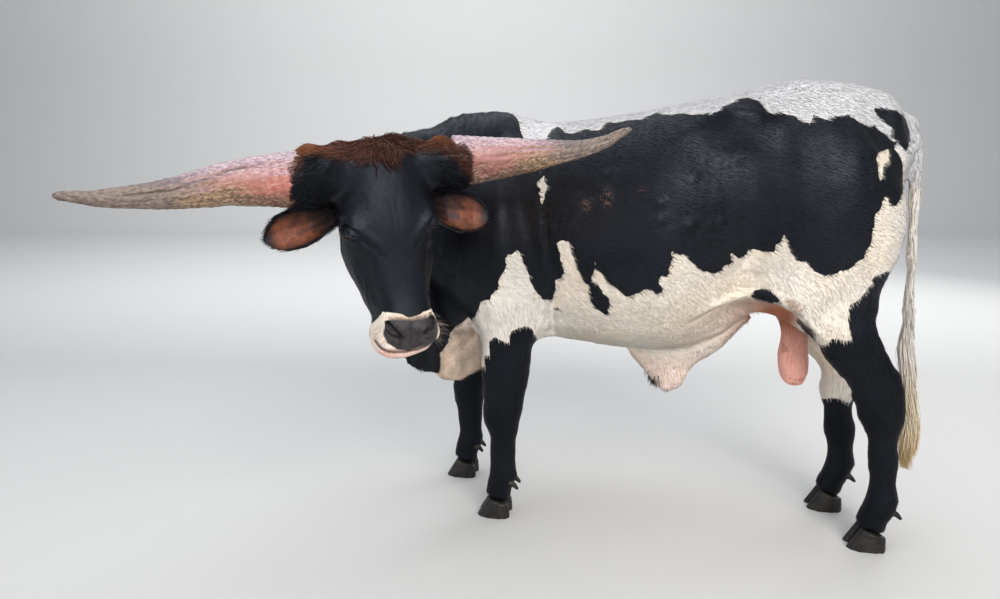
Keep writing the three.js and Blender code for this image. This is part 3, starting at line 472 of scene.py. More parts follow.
# Markings, as outlines in millimetres in the body's side view: ahead of the hind feet, and up
BARREL_WHITE = (
    (984, 771), (968, 782), (962, 805), (965, 833), (949, 841), (937, 851), (947, 892),
    (953, 927), (961, 946), (952, 956), (933, 954), (928, 962), (918, 929), (908, 894),
    (895, 863), (880, 833), (871, 831), (857, 844), (849, 874), (847, 901), (837, 878),
    (822, 849), (807, 831), (793, 829), (772, 806), (752, 797), (727, 804), (710, 820),
    (685, 821), (670, 809), (657, 812), (651, 821), (661, 839), (665, 866), (656, 866),
    (639, 857), (632, 875), (638, 887), (630, 901), (632, 938), (612, 924), (595, 921),
    (580, 903), (559, 883), (542, 873), (512, 866), (489, 873), (482, 888), (462, 890),
    (457, 899), (473, 914), (465, 926), (443, 907), (420, 915), (414, 934), (396, 935),
    (369, 927), (350, 925), (343, 955), (331, 958), (328, 981), (318, 959), (305, 926),
    (289, 910), (264, 909), (255, 892), (227, 873), (194, 871), (169, 888), (146, 887),
    (130, 910), (110, 921), (108, 944), (96, 963), (96, 997), (95, 1040), (80, 1056),
    (74, 1094), (64, 1085), (56, 1066), (36, 1063), (18, 1086), (-4, 1130), (2, 1173),
    (23, 1200), (36, 1222), (5, 1232), (-200, 1230), (-200, 250), (1030, 250), (1015, 640),
    (985, 700),
)  # fmt: skip
SHOULDER_WHITE = (
    (1083, 920), (1095, 914), (1105, 901), (1114, 907), (1120, 882), (1117, 870), (1133, 836),
    (1142, 823), (1136, 798), (1154, 789), (1166, 767), (1199, 752), (1207, 728), (1224, 697),
    (1255, 668), (1262, 600), (1225, 560), (1174, 578), (1179, 622), (1153, 641), (1128, 625),
    (1113, 619), (1102, 663), (1092, 670), (1074, 677), (1059, 682), (1042, 671), (1034, 649),
    (1024, 600), (990, 640), (970, 720), (984, 771), (1009, 775), (1024, 790), (1040, 824),
    (1055, 867), (1070, 897),
)  # fmt: skip
DEWLAP_BARE = (
    (1253, 691), (1278, 665), (1311, 641), (1342, 607), (1354, 563), (1372, 538), (1381, 510),
    (1397, 518), (1405, 496), (1412, 462), (1376, 430), (1300, 380), (1190, 380), (1190, 560),
    (1225, 640),
)  # fmt: skip
NECK_STREAK = (
    (1023, 1150), (1010, 1139), (1005, 1119), (992, 1101), (1004, 1098), (1006, 1081),
    (1007, 1049), (1014, 1066), (1022, 1089), (1019, 1101), (1032, 1112), (1018, 1133),
)  # fmt: skip
SEAT_WHITE = (
    (28, 1228), (24, 1222), (10, 1156), (6, 1075), (14, 1030), (-60, 1000), (-60, 1240), (0, 1250),
)  # fmt: skip
PIN_STREAK = (
    (85, 1208), (56, 1214), (59, 1187), (78, 1173), (83, 1139), (85, 1129), (94, 1139),
    (94, 1174), (97, 1192),
)  # fmt: skip
THIGH_BLACK = (
    (44, 875), (56, 870), (70, 865), (80, 853), (72, 844), (91, 833), (93, 812), (111, 798),
    (131, 790), (129, 756), (133, 736), (122, 707), (112, 676), (129, 681), (153, 688),
    (172, 685), (180, 671), (200, 655), (330, 560), (330, -50), (-200, -50), (-200, 875),
)  # fmt: skip
TAIL_HEAD_BLACK = (
    (94, 1330), (74, 1330), (45, 1326), (17, 1320), (-8, 1306), (-30, 1270), (-20, 1241),
    (2, 1208), (19, 1225), (34, 1241), (47, 1255), (37, 1274), (62, 1291), (82, 1305),
)  # fmt: skip
BELLY_SPOT = (
    (860, 834), (845, 841), (833, 827), (821, 806), (806, 788), (800, 771), (806, 753),
    (800, 736), (814, 735), (829, 748), (847, 753), (856, 768), (865, 790), (862, 812),
)  # fmt: skip
FLANK_SPOT = (
    (400, 790), (392, 806), (380, 813), (360, 825), (345, 818), (323, 795), (320, 788),
    (342, 782), (371, 786),
)  # fmt: skip
GROIN_SPOT = (
    (263, 735), (245, 723), (229, 711), (212, 681), (200, 666), (224, 676), (254, 715),
)  # fmt: skip
FLANK_TAN = ((316, 797), (287, 799), (262, 774), (268, 760), (297, 772))
DOTS = ((963, 743, 9), (1031, 771, 7), (1003, 773, 6), (1083, 887, 5))
SCRAPES = ((881, 1059, 9), (822, 1080, 11), (724, 1103, 5), (579, 1083, 4))

# Half width of the roan over the back, at places ahead of the hind feet
BACK_HALF = (
    (-200, 140), (45, 120), (88, 118), (136, 147), (168, 143), (197, 157), (221, 173),
    (243, 181), (258, 158), (275, 188), (299, 175), (316, 158), (345, 156), (364, 161),
    (387, 174), (404, 148), (425, 139), (443, 130), (480, 172), (521, 194), (534, 190),
    (568, 168), (595, 152), (627, 125), (644, 129), (663, 118), (692, 89), (721, 99),
    (735, 110), (779, 94), (806, 94), (837, 82), (847, 103), (854, 126), (861, 116),
    (898, 101), (919, 104), (949, 105), (963, 94), (979, 59), (989, 56), (1007, 66),
    (1016, 122), (1030, 150), (1075, 150), (1084, 115), (1095, 104), (1114, 60), (1150, 22),
    (1190, 8), (1230, -40), (1500, -200),
)  # fmt: skip


def outline_field(points, outline):
    return outline_depth(points[:, 0] * 1000, points[:, 2] * 1000, outline) / 1000


def dot_field(points, dots):
    best = np.full(len(points), -1.0)
    for x, z, radius in dots:
        best = np.maximum(best, radius / 1000 - np.hypot(points[:, 0] - x / 1000, points[:, 2] - z / 1000))
    return best


def back_field(points):
    """How deep a place lies in the roan of the back and rump."""
    across = np.abs(points[:, 1]) + np.where(points[:, 1] < 0, 0.02 * waves(points, 0.3, 6, 2), 0)
    back = track(BACK_HALF)(points[:, 0] * 1000) / 1000 - across
    return np.minimum(back, points[:, 2] - 1.12)


def white_field(points):
    """How deep a place of the body lies in the white, in metres, below 0 in the black."""
    near = points
    side = step(-0.05, 0.05, points[:, 1])
    far = points.copy()
    far[:, 0] += 0.05 * waves(points, 0.9, 4, 1) - 0.03
    far[:, 2] += 0.05 * waves(points, 0.7, 5, 1) + 0.015
    fields = []
    for place in (near, far):
        white = outline_field(place, BARREL_WHITE)
        for outline in (THIGH_BLACK, BELLY_SPOT, FLANK_SPOT, GROIN_SPOT):
            if outline is THIGH_BLACK and place is far:
                shin = place[:, 2] - 0.405 - 0.02 * waves(points, 0.09, 9, 2)
                white = np.minimum(white, shin)
            else:
                white = np.minimum(white, -outline_field(place, outline))
        for outline in (SHOULDER_WHITE, NECK_STREAK, PIN_STREAK, SEAT_WHITE):
            white = np.maximum(white, outline_field(place, outline))
        white = np.minimum(white, -dot_field(place, DOTS))
        fields.append(white)
    white = fields[1] + side * (fields[0] - fields[1])
    dewlap = np.maximum(outline_field(points, DEWLAP_BARE), -0.2)
    off_leg = np.maximum(0.078 - np.abs(points[:, 1]), points[:, 2] - 0.53)
    white = np.maximum(white, np.minimum(dewlap, off_leg))
    white = np.maximum(white, back_field(points))
    tail_head = np.minimum(outline_field(points, TAIL_HEAD_BLACK), np.abs(points[:, 1]) - 0.03)
    return np.minimum(white, -tail_head)


# Skin
EAR_LINE = ((-122, 82, -172), (-118, 140, -176), (-106, 215, -184), (-114, 305, -204))
EAR_HALF = track(((0, 22), (0.2, 28), (0.4, 46), (0.6, 53), (0.8, 47), (0.93, 28), (1, 6)))
EAR_CUP = track(((0, 0), (0.2, 8), (0.45, 25), (0.8, 17), (1, 3)))
EAR_THICK = track(((0, 17), (0.2, 12), (0.4, 5), (1, 2.5)))
NOSTRIL = ((57, -466), (56, -480), (47, -496), (33, -509))
NOSTRIL_WIDTH = track(((0, 4.0), (0.35, 9.0), (0.7, 9.0), (1, 4.5)))
MOUTH_FACE = (-0.967, 0.222, -0.116)  # across this way the mouth's line is laid
MOUTH = (
    (-112, -80, -505), (-100, -77, -517), (-80, -72, -532), (-60, -65, -539), (-41, -55, -543),
    (-47, -34, -548), (-46, -16, -551), (-43, 7, -549), (-43, 30, -549),
)  # fmt: skip
EYE_RADIUS = 21.0
EYE_OUT = np.array((0.36, 0.93, 0.04))


def eye_frame(side):
    """Centre of an eye and its three ways, out, along the lids and up, in the head's frame."""
    node = "eye_left" if side > 0 else "eye_right"
    centre = moved([middle(node)], HEAD.inverted())[0] * 1000
    out = EYE_OUT * (1, side, 1)
    out = out / np.linalg.norm(out)
    flat = np.cross(out, (0, 0, side))
    flat /= np.linalg.norm(flat)
    long = flat * 0.84 + np.array((0, 0, -0.54))
    long /= np.linalg.norm(long)
    short = np.cross(out, long) * -side
    return centre, out, long, short


EAR_LEFT = 1.12  # how much wider the left ear shows, turned further to the front


def ear_sag(y):
    """How much lower the ears hang out to their tips."""
    return np.where(y > 0, 27, 8) * step(110, 215, np.abs(y))


def ear_mesh(side):
    """A closed cup: rings of a crescent along the ear's line."""
    centres = curve_points([(x, side * y, z) for x, y, z in EAR_LINE], 30)
    ways = np.gradient(centres, axis=0)
    rings = []
    for i, (centre, way) in enumerate(zip(centres, unit(ways))):
        t = i / 29
        across = np.array((0.0, 0.12 * side, 1.0))
        across -= way * (across @ way)
        across /= np.linalg.norm(across)
        front = np.cross(across, way) * side
        front *= 1 if front[0] > 0 else -1
        ring = []
        for k in range(28):
            turn = math.pi * k / 14
            u = math.cos(turn)
            rim = math.sqrt(max(1 - u * u, 0)) * (1 if k < 14 else -1)
            up = EAR_THICK(t) * rim - EAR_CUP(t) * (1 - u * u)
            half = EAR_HALF(t) * (EAR_LEFT if side > 0 else 1)
            ring.append(centre + across * half * u + front * up)
        rings.append(ring)
    points, faces = loft(rings)
    points = np.array(points)
    points[:, 2] -= ear_sag(points[:, 1])
    return face_out(mesh_from("ear", moved(points / 1000, HEAD), faces))


def ear_places(q):
    """Share of an ear, how far along it and how far across it each place of the head lies."""
    x, y, z = q.T
    side = np.abs(y)
    line = np.array(EAR_LINE, float)
    distance, _ = path_distance(side, z, [(p[1], p[2]) for p in EAR_LINE])
    along = np.clip((side - line[0, 1]) / (line[-1, 1] - line[0, 1]), 0, 1)
    middle_z = np.interp(side, line[:, 1], line[:, 2]) - ear_sag(y)
    half = EAR_HALF(along) * np.where(y > 0, EAR_LEFT, 1)
    out_on = (side > 150) & (np.abs(z - middle_z) < half * 1.12 + 2) & (z < -115)
    stalk = (side > 98) & (distance < 36) & (x < -78) & (z < -122)
    share = (stalk | (out_on & (distance < 90) & (x < -70))).astype(float)
    return share, along, (z - middle_z) / half


def refine(mesh, chosen):
    """Cuts the chosen places' faces in four."""
    shape = bmesh.new()
    shape.from_mesh(mesh)
    edges = [e for e in shape.edges if chosen[e.verts[0].index] and chosen[e.verts[1].index]]
    bmesh.ops.subdivide_edges(shape, edges=edges, cuts=1, use_grid_fill=True)
    shape.to_mesh(mesh)
    shape.free()
    mesh.update()


def head_places(mesh):
    return moved(points_of(mesh), HEAD.inverted()) * 1000


def near_head(q, grow=0.0):
    x, y, z = q.T
    ahead = 0.92 * (x + 128) - 0.36 * (z - 20) > -22 - grow
    return (np.abs(y) < 205 + grow) & (z < 50 + grow) & (z > -600 - grow) & (x < 90) & ahead


def face(q):
    x, y, z = q.T
    return near_head(q) & (np.abs(y) < 140) & (z < -165) & (x > -125 - 0.12 * (z + 450))


def fine_face(q):
    x, y, z = q.T
    nostrils, _ = path_distance(np.abs(y), z, NOSTRIL)
    lips, _ = mouth_line(q)
    chosen = ((nostrils < 16) & (x > -60)) | (lips < 9)
    for side in SIDES.values():
        centre, *_ = eye_frame(side)
        chosen |= np.linalg.norm(q - centre, axis=1) < 41
    return near_head(q) & chosen


def horn_stub(side):
    """A plug in the seat of a horn, whose skin and fur reach out over the horn's root."""
    turns = np.linspace(0, 2 * math.pi, 32, endpoint=False)
    reach = np.maximum(5, 17 + 25 * np.cos(turns) - 8 * np.sin(turns))
    radius = track(((0, 50), (0.5, 74), (0.85, 77.5), (0.95, 74), (1, 67)))
    rings = []
    for t in np.linspace(0, 1, 12):
        level = 40 + t * (159 + reach)
        x = np.interp(level, (40, 199, 331), (-80, -58, -30)) + np.cos(turns) * radius(t)
        high = np.where(np.sin(turns) > 0, 0.93, 1.0)
        z = np.interp(level, (40, 199, 331), (-60, -80, -87)) + np.sin(turns) * radius(t) * high
        rings.append(np.stack([x, side * level, z], axis=1))
    points, faces = loft(rings)
    return face_out(mesh_from("stub", moved(np.array(points) / 1000, HEAD), faces))


def hair_depth(mesh):
    """How deep the coat is: least on the face and bare skin."""
    depth = bpy.context.scene.bull_coat.depth
    q = head_places(mesh)
    place = moved(points_of(mesh), BODY.inverted())
    head = spread(near_head(q), edges_of(mesh), 3)[:, 0]
    depth = depth * (1 - 0.5 * head)
    depth = depth * (1 - 0.7 * head * step(-420, -480, q[:, 2]))
    bare = (place[:, 2] < 0.66) & (place[:, 0] > 0.15) & (place[:, 0] < 0.86)
    return depth * np.where(bare & (np.abs(place[:, 1]) < 0.075), 0.3, 1.0)


def skin_mesh(cell):
    shape = welded(FLESH + ("eye_left", "eye_right"), 0.0005)
    for side in SIDES.values():
        stub = horn_stub(side)
        shape.from_mesh(stub)
        bpy.data.meshes.remove(stub)
    joined = bpy.data.meshes.new("flesh")
    shape.to_mesh(joined)
    shape.free()
    obj = link("flesh", joined)
    remesh = obj.modifiers.new("Cells", "REMESH")
    remesh.mode = "VOXEL"
    remesh.voxel_size = cell
    remesh.adaptivity = 0.0
    mesh = baked(obj, "skin")
    edges = edges_of(mesh)
    points = spread(points_of(mesh), edges, 8, 0.55, -1.04)
    place = moved(points, BODY.inverted())
    x, y, z = place.T
    hanging = (z < 0.66) & (((x > 0.33) & (x < 0.86)) | (x > 1.21) | (np.abs(y) < 0.07))
    firm = np.where(hanging | near_head(moved(points, HEAD.inverted()) * 1000), 0.0, 1.0)
    firm = np.minimum(firm, step(-0.06, -0.02, x) + (z < 0.7))
    firm = spread(np.minimum(firm, step(0.0, 0.05, z)), edges, 3)
    points = spread(points, edges, 45, 0.5 * firm[:, 0], -1.04)
    limbs = step(0.09, 0.15, z) * step(0.72, 0.6, z) * step(-0.13, -0.08, x)
    limbs = spread(np.where(hanging, 0, limbs), edges, 3)
    points = spread(points, edges, 130, 0.5 * limbs[:, 0], -1.035)
    q = moved(points, HEAD.inverted()) * 1000
    poll = step(-66, -40, q[:, 2]) * step(150, 120, np.abs(q[:, 1])) * step(-150, -110, q[:, 0])
    poll = poll * near_head(q)
    points = spread(points, edges, 40, 0.5 * poll, -0.98)
    set_points(mesh, points)
    set_points(mesh, points_of(mesh) - normals_of(mesh) * hair_depth(mesh)[:, None])
    for passes, chosen in ((7, near_head), (4, face), (3, fine_face)):
        refine(mesh, chosen(head_places(mesh)))
        q = head_places(mesh)
        share = np.where(chosen(q), 0.5, 0.0)
        share = spread(share, edges_of(mesh), 2)[:, 0]
        set_points(mesh, spread(points_of(mesh), edges_of(mesh), passes, share, -0.9))
    return mesh


def lids(q):
    """Lids closed over the eyes but for a slit, with their folds."""
    for side in SIDES.values():
        centre, out, long, short = eye_frame(side)
        r = q - centre
        u, v, w = r @ long, r @ short, r @ out
        flat = np.hypot(u / 1.15, v)
        near = (w > -15) & (flat < 60)
        ball = np.sqrt(np.maximum(EYE_RADIUS**2 - np.minimum(flat, EYE_RADIUS) ** 2, 0))
        slit = -3.0 + 0.006 * u * u
        opening = 4.2 * np.sqrt(np.clip(1 - (u / 25) ** 2, 0, 1))
        gap = v - slit
        away = np.abs(gap) - opening
        lid = np.where(gap > 0, 3.6, 2.6)
        cover = ball + lid
        shut = step(27, 18, flat)
        target = w + (cover - w) * shut
        target += 3.2 * bell(away - 3.0, 2.6) * step(34, 24, np.abs(u)) * (away > -2)
        inner = ball - 4.0
        hole = step(1.4, -0.6, away) * (np.abs(u) < 25)
        target += (inner - target) * hole
        for offset, depth in ((10, 1.9), (17, 1.6), (-9, 1.5), (-15, 1.3), (-21, 0.8)):
            fold = gap - offset * (1 - (u / 60) ** 2)
            target -= depth * bell(fold, 1.6) * step(40, 22, np.abs(u))
        target += 4.5 * bell(gap - 27, 9) * bell(u, 36)
        target -= 2.2 * bell(gap + 28, 8) * bell(u, 30)
        change = np.where(near, target - w, 0) * step(58, 40, flat)
        q = q + out * change[:, None]
    return q


def mouth_line(q):
    """Distance from the mouth's line as seen from in front, and how far along it."""
    face_way = np.array(MOUTH_FACE)
    places = np.column_stack([q[:, 0], -np.abs(q[:, 1]), q[:, 2]])
    flat = places - np.outer(places @ face_way, face_way)
    path = np.array(MOUTH, float)
    distance, along = line_distance(flat, path - np.outer(path @ face_way, face_way))
    return distance + 60 * step(-128, -150, q[:, 0]) + 60 * step(-490, -470, q[:, 2]), along


def muzzle(q):
    """Nostrils, the wings round them, the mouth's line and the lips."""
    x, y, z = q.T
    side = np.abs(y)
    front = step(-80, -45, x)
    distance, along = path_distance(side, z, NOSTRIL)
    width = NOSTRIL_WIDTH(along)
    hole = step(width + 3.5, width - 3.5, distance) * front
    wing = bell(distance - width - 5, 4.5) * front * step(-20, 12, side - 40 + 0.25 * (z + 485))
    q = q + np.stack([-19 * hole + 4.0 * wing, np.zeros_like(x), 6 * hole], axis=1)
    groove = bell(side, 2.2) * step(-470, -500, z) * front
    q[:, 0] += 3.0 * step(0, 16, outline_depth(y, z, NOSE_PAD)) * front * (1 - hole) - 2.2 * groove
    distance, along = mouth_line(q)
    inward = unit(np.array((-85, 0, -500)) - q * (1, 0.8, 1))
    corner = step(0.0, 0.10, along)
    line = bell(distance, 3.2) * corner
    lips = bell(distance - 9, 5) * corner
    q += inward * (9.0 * line - 3.0 * lips)[:, None]
    return q


def head_form(q):
    """The broad forms that fur and muscle give the head over its solid."""
    x, y, z = q.T
    side = np.sign(y)
    temple = 21 * bell((x + 62) / 62, 1) * bell((z + 158) / 46, 1) * step(60, 88, np.abs(y))
    jaw = 15 * bell((x + 118) / 62, 1) * step(-215, -275, z) * step(-470, -400, z) * step(30, 60, np.abs(y))
    lip = np.where(y < 0, 14, 5) * bell((z + 492) / 34, 1) * bell((x + 96) / 42, 1) * step(30, 60, np.abs(y))
    lip += np.where(y < 0, 9, 3) * bell((z + 535) / 20, 1) * step(-20, -60, x) * step(25, 55, np.abs(y))
    chin = -8 * bell((y + 40) / 50, 1) * step(-528, -545, z) * step(-30, -55, x)
    hairless = ear_places(q)[0] < 0.5
    poll = -(13 + 9 * step(-20, 60, y)) * step(-75, -25, z) * step(175, 120, np.abs(y)) * step(-170, -110, x)
    boss = -(5 + 12 * step(0, 60, y)) * step(-60, -15, z) * step(110, 150, np.abs(y)) * (np.abs(y) < 260)
    return q + np.stack([0 * x, side * (temple + jaw + lip) * hairless, poll + boss + chin], axis=1)


def brow_fold(q):
    """The brow that hangs over the eye and the fold that runs from it down the face."""
    x, y, z = q.T
    path = ((-118, -196), (-110, -226), (-89, -249), (-56, -281))
    distance, along = path_distance(-np.abs(y), z, path)
    fade = np.sin(np.pi * np.clip(along * 0.9 + 0.1, 0.05, 0.97)) ** 0.5 * step(-130, -60, x)
    above = step(-2, 6, z + 226 + (110 - np.abs(y)) * 1.02)
    low = np.exp(-((distance / 17) ** 1.3))
    groove = 9.0 * (above * bell(distance, 6) + (1 - above) * low) * fade
    ridge = 4.5 * bell(distance - 15, 11) * fade * above
    q = q.copy()
    q[:, 0] += ridge - groove
    q[:, 1] += np.sign(y) * (0.5 * ridge - 0.5 * groove)
    return q


def face_folds(q):
    """The cheek's crest, the hollow before it and shallow folds of the forehead."""
    q = brow_fold(head_form(q))
    x, y, z = q.T
    side = np.abs(y)
    out = unit(np.stack([0.45 + 0 * x, np.sign(y) * 0.9, 0 * x], axis=1))
    crest, along = path_distance(x, z, ((-64, -292), (-82, -345), (-96, -400)))
    level = 7.0 * bell(crest, 12) * np.sin(np.pi * np.clip(along, 0.02, 0.98))
    hollow, _ = path_distance(x, z, ((-34, -300), (-40, -350), (-44, -400)))
    level -= 9.0 * bell(hollow, 15)
    vein, _ = path_distance(x, z, ((-60, -300), (-58, -350), (-80, -392), (-88, -440)))
    level += 2.6 * bell(vein, 4.0)
    q = q + out * (level * step(22, 50, side) * step(-210, -270, z))[:, None]
    bend = 15 + 0.12 * (z + 150) + 5 * np.sin(z / 23)
    fold = 0.6 * bell(np.abs(y - 6) - bend, 5) * bell(z + 190, 60) * step(-70, -40, x)
    q[:, 0] -= fold
    return q


FLANK_EDGE = track(
    ((0.16, 0.61), (0.2, 0.664), (0.245, 0.716), (0.268, 0.748), (0.32, 0.782), (0.4, 0.786),
     (0.46, 0.772), (0.54, 0.735), (0.62, 0.70))
)  # fmt: skip


def flank(points):
    """The fold from belly to thigh, with the groin drawn up and in behind it."""
    x, y, z = points.T
    under = step(-0.003, 0.020, FLANK_EDGE(x) - z) * step(0.17, 0.24, x) * step(0.60, 0.40, x)
    under = under * step(0.52, 0.66, z) * step(0.02, 0.06, np.abs(y))
    lift = 0.042 * bell((x - 0.375) / 0.115, 1) * step(0.78, 0.70, z) * step(0.50, 0.62, z)
    moved_in = points.copy()
    moved_in[:, 1] = y * (1 - 0.5 * under)
    moved_in[:, 2] = z + lift
    return moved_in


LEG_EDGES = {
    # height, then the rear and front edges that the solid has and those that the skin gets, in mm
    ("hind", 1): (
        (90, -80, 30, -80, 30), (150, -72, 30, -77, 30), (255, -55, 29, -65, 24), (285, -52, 29, -64, 23),
        (395, -43, 41, -56, 53), (440, -41, 50, -53, 74), (490, -43, 64, -48, 95), (540, -46, 127, -46, 122),
        (598, -4, 194, -18, 160), (650, 20, 222, 2, 188), (672, 32, 234, 12, 222), (705, 49, 252, 30, 246),
        (740, 53, 265, 44, 275), (800, 50, 280, 50, 280),
    ),
    ("hind", -1): (
        (70, -25, 75, -25, 75), (132, -42, 60, -42, 56), (170, -33, 60, -46, 54), (212, -24, 62, -46, 54),
        (291, -16, 66, -44, 62), (340, -16, 78, -42, 78), (409, -15, 100, -34, 102),
        (480, -15, 120, -22, 120), (540, -15, 130, -15, 130),
    ),
    ("fore", 1): (
        (70, 1100, 1197, 1100, 1197), (160, 1096, 1187, 1095, 1192), (225, 1103, 1173, 1098, 1178),
        (283, 1097, 1179, 1096, 1179), (335, 1087, 1186, 1083, 1200), (388, 1084, 1191, 1072, 1206),
        (441, 1078, 1185, 1067, 1208), (490, 1067, 1188, 1060, 1209), (545, 1046, 1193, 1051, 1208),
        (600, 1035, 1200, 1040, 1207), (660, 1030, 1210, 1030, 1210),
    ),
    ("fore", -1): (
        (70, 1298, 1396, 1298, 1396), (134, 1288, 1375, 1283, 1380), (190, 1292, 1370, 1284, 1374),
        (240, 1294, 1371, 1284, 1380), (290, 1287, 1377, 1282, 1392), (340, 1273, 1387, 1272, 1400),
        (400, 1262, 1395, 1264, 1402), (450, 1250, 1400, 1250, 1402), (520, 1240, 1400, 1240, 1400),
    ),
}  # fmt: skip


def fill_legs(points):
    """The legs broader from the side at knee and hock, and flatter in the cannon."""
    points = points.copy()
    x, y, z = points.T
    for (_, side), rows in LEG_EDGES.items():
        rows = np.array(rows) / 1000
        rear, front, new_rear, new_front = (np.interp(z, rows[:, 0], rows[:, i]) for i in range(1, 5))
        share = np.clip((x - rear) / (front - rear), 0, 1)
        change = (1 - share) * (new_rear - rear) + share * (new_front - front)
        near = step(0.05, 0.015, np.maximum(rear - x, x - front)) * step(0.03, 0.07, y * side)
        points[:, 0] += change * near * (z < rows[-1, 0])
        cuff = (z < 0.16) & (y * side > 0) & ((x > 0.6) == (rows[0, 1] > 0.5))
        share = 0.16 * step(0.125, 0.075, z) * cuff
        if cuff.any():
            centre = points[cuff & (z < 0.12)].mean(axis=0)
            points[:, 0] += share * (centre[0] - points[:, 0])
            points[:, 1] += share * (centre[1] - points[:, 1])
    return points


DEWLAP_DROP = track(
    ((1.20, 0), (1.24, 0.030), (1.29, 0.044), (1.33, 0.042), (1.37, 0.038), (1.41, 0.028), (1.45, 0.014),
     (1.5, 0))
)  # fmt: skip


def hang(points):
    """The dewlap's round lower edge, the sheath a little forward and the seat fuller."""
    points = points.copy()
    x, y, z = points.T
    thin = step(0.085, 0.05, np.abs(y))
    points[:, 2] -= DEWLAP_DROP(x) * step(0.62, 0.47, z) * thin
    sheath = step(0.61, 0.50, z) * step(0.66, 0.57, x) * step(0.36, 0.44, x) * step(0.12, 0.08, np.abs(y))
    points[:, 0] += 0.026 * sheath
    seat = bell((z - 1.02) / 0.15, 1) * step(0.10, 0.0, x)
    points[:, 0] -= 0.021 * seat * step(0.025, 0.05, np.abs(y)) * step(0.24, 0.16, np.abs(y))
    return points


def ease_hanging(points, edges, free):
    """Evens out the dewlap and the sheath after they have been drawn down."""
    x, y, z = points.T
    side = np.abs(y)
    low = step(0.62, 0.56, z)
    dewlap = low * step(0.17, 0.12, side) * step(1.17, 1.22, x) * step(0.0, 0.02, 1.6 - x)
    sheath = low * step(0.30, 0.36, x) * step(0.70, 0.64, x) * step(0.15, 0.1, side)
    return spread(points, edges, 10, 0.5 * np.maximum(dewlap, sheath) * free, -0.9)


def body_folds(points, normals):
    """Folds of loose skin behind the neck, at the elbow and dewlap, and warts on the barrel."""
    x, y, z = points.T
    lift = np.zeros(len(points))
    near = np.maximum(step(0.05, 0.12, np.abs(y)), step(1.2, 1.24, x) * step(0.72, 0.66, z))
    folds = (
        (((1.035, 1.17), (1.005, 1.05), (0.985, 0.93), (0.972, 0.80)), 0.006, 0.011),
        (((1.000, 1.10), (0.965, 0.98), (0.955, 0.86)), 0.004, 0.009),
        (((1.085, 1.12), (1.055, 1.00), (1.035, 0.88)), 0.003, 0.012),
        (((1.135, 1.15), (1.115, 1.00), (1.11, 0.90)), 0.0025, 0.012),
        (((1.19, 1.16), (1.175, 1.02), (1.18, 0.88)), 0.0025, 0.012),
        (((0.985, 0.76), (0.995, 0.70), (0.985, 0.655)), 0.007, 0.009),
        (((1.245, 0.66), (1.27, 0.585), (1.35, 0.54)), 0.007, 0.008),
        (((1.235, 0.60), (1.255, 0.545), (1.31, 0.50)), 0.006, 0.007),
        (((1.25, 0.70), (1.30, 0.645), (1.37, 0.61)), 0.004, 0.008),
    )
    for path, depth, width in folds:
        distance, along = path_distance(x, z, path)
        fade = np.sin(np.pi * np.clip(along, 0.04, 0.96)) ** 0.6
        lift -= depth * bell(distance, width) * fade * near
        lift += 0.6 * depth * bell(distance - 1.6 * width, width) * fade * near
    crest = (x > 1.2) & (z > 1.15)
    lift += 0.0016 * np.sin((x + 0.25 * np.abs(y)) * 2 * math.pi / 0.021) * crest
    neck = step(1.16, 1.26, x) * step(0.72, 0.85, z)
    lift += 0.0013 * np.sin(x * 2 * math.pi / 0.047 + 2.5 * waves(points, 0.5, 31, 1)) * neck
    draw = np.random.default_rng(12)
    for _ in range(40):
        place = np.array((draw.uniform(0.45, 0.98), draw.uniform(0.96, 1.2)))
        side = draw.choice((-1, 1))
        radius = draw.uniform(0.009, 0.014)
        spot = bell(np.hypot(x - place[0], z - place[1]), radius) * (y * side > 0.12)
        lift += draw.uniform(0.003, 0.007) * spot
    lift += 0.0008 * waves(points, 0.22, 41, 2)
    edge = z - FLANK_EDGE(x) - 0.012
    lift += 0.009 * bell(edge, 0.014) * step(0.17, 0.24, x) * step(0.56, 0.46, x) * step(0.05, 0.1, np.abs(y))
    return points + normals * lift[:, None]


def part_shares(mesh):
    """How much each place of the skin belongs to each node of flesh, from 0 to 1."""
    tree = KDTree(sum(len(frame["nodes"][n].data.vertices) for n in FLESH))
    owner = []
    for i, node in enumerate(FLESH):
        for vert in frame["nodes"][node].data.vertices:
            tree.insert(vert.co, len(owner))
            owner.append(i)
    tree.balance()
    nearest = np.array([owner[tree.find(v.co)[1]] for v in mesh.vertices])
    shares = np.eye(len(FLESH))[nearest]
    shares = spread(shares, edges_of(mesh), 4)
    return {node: shares[:, i] for i, node in enumerate(FLESH)}


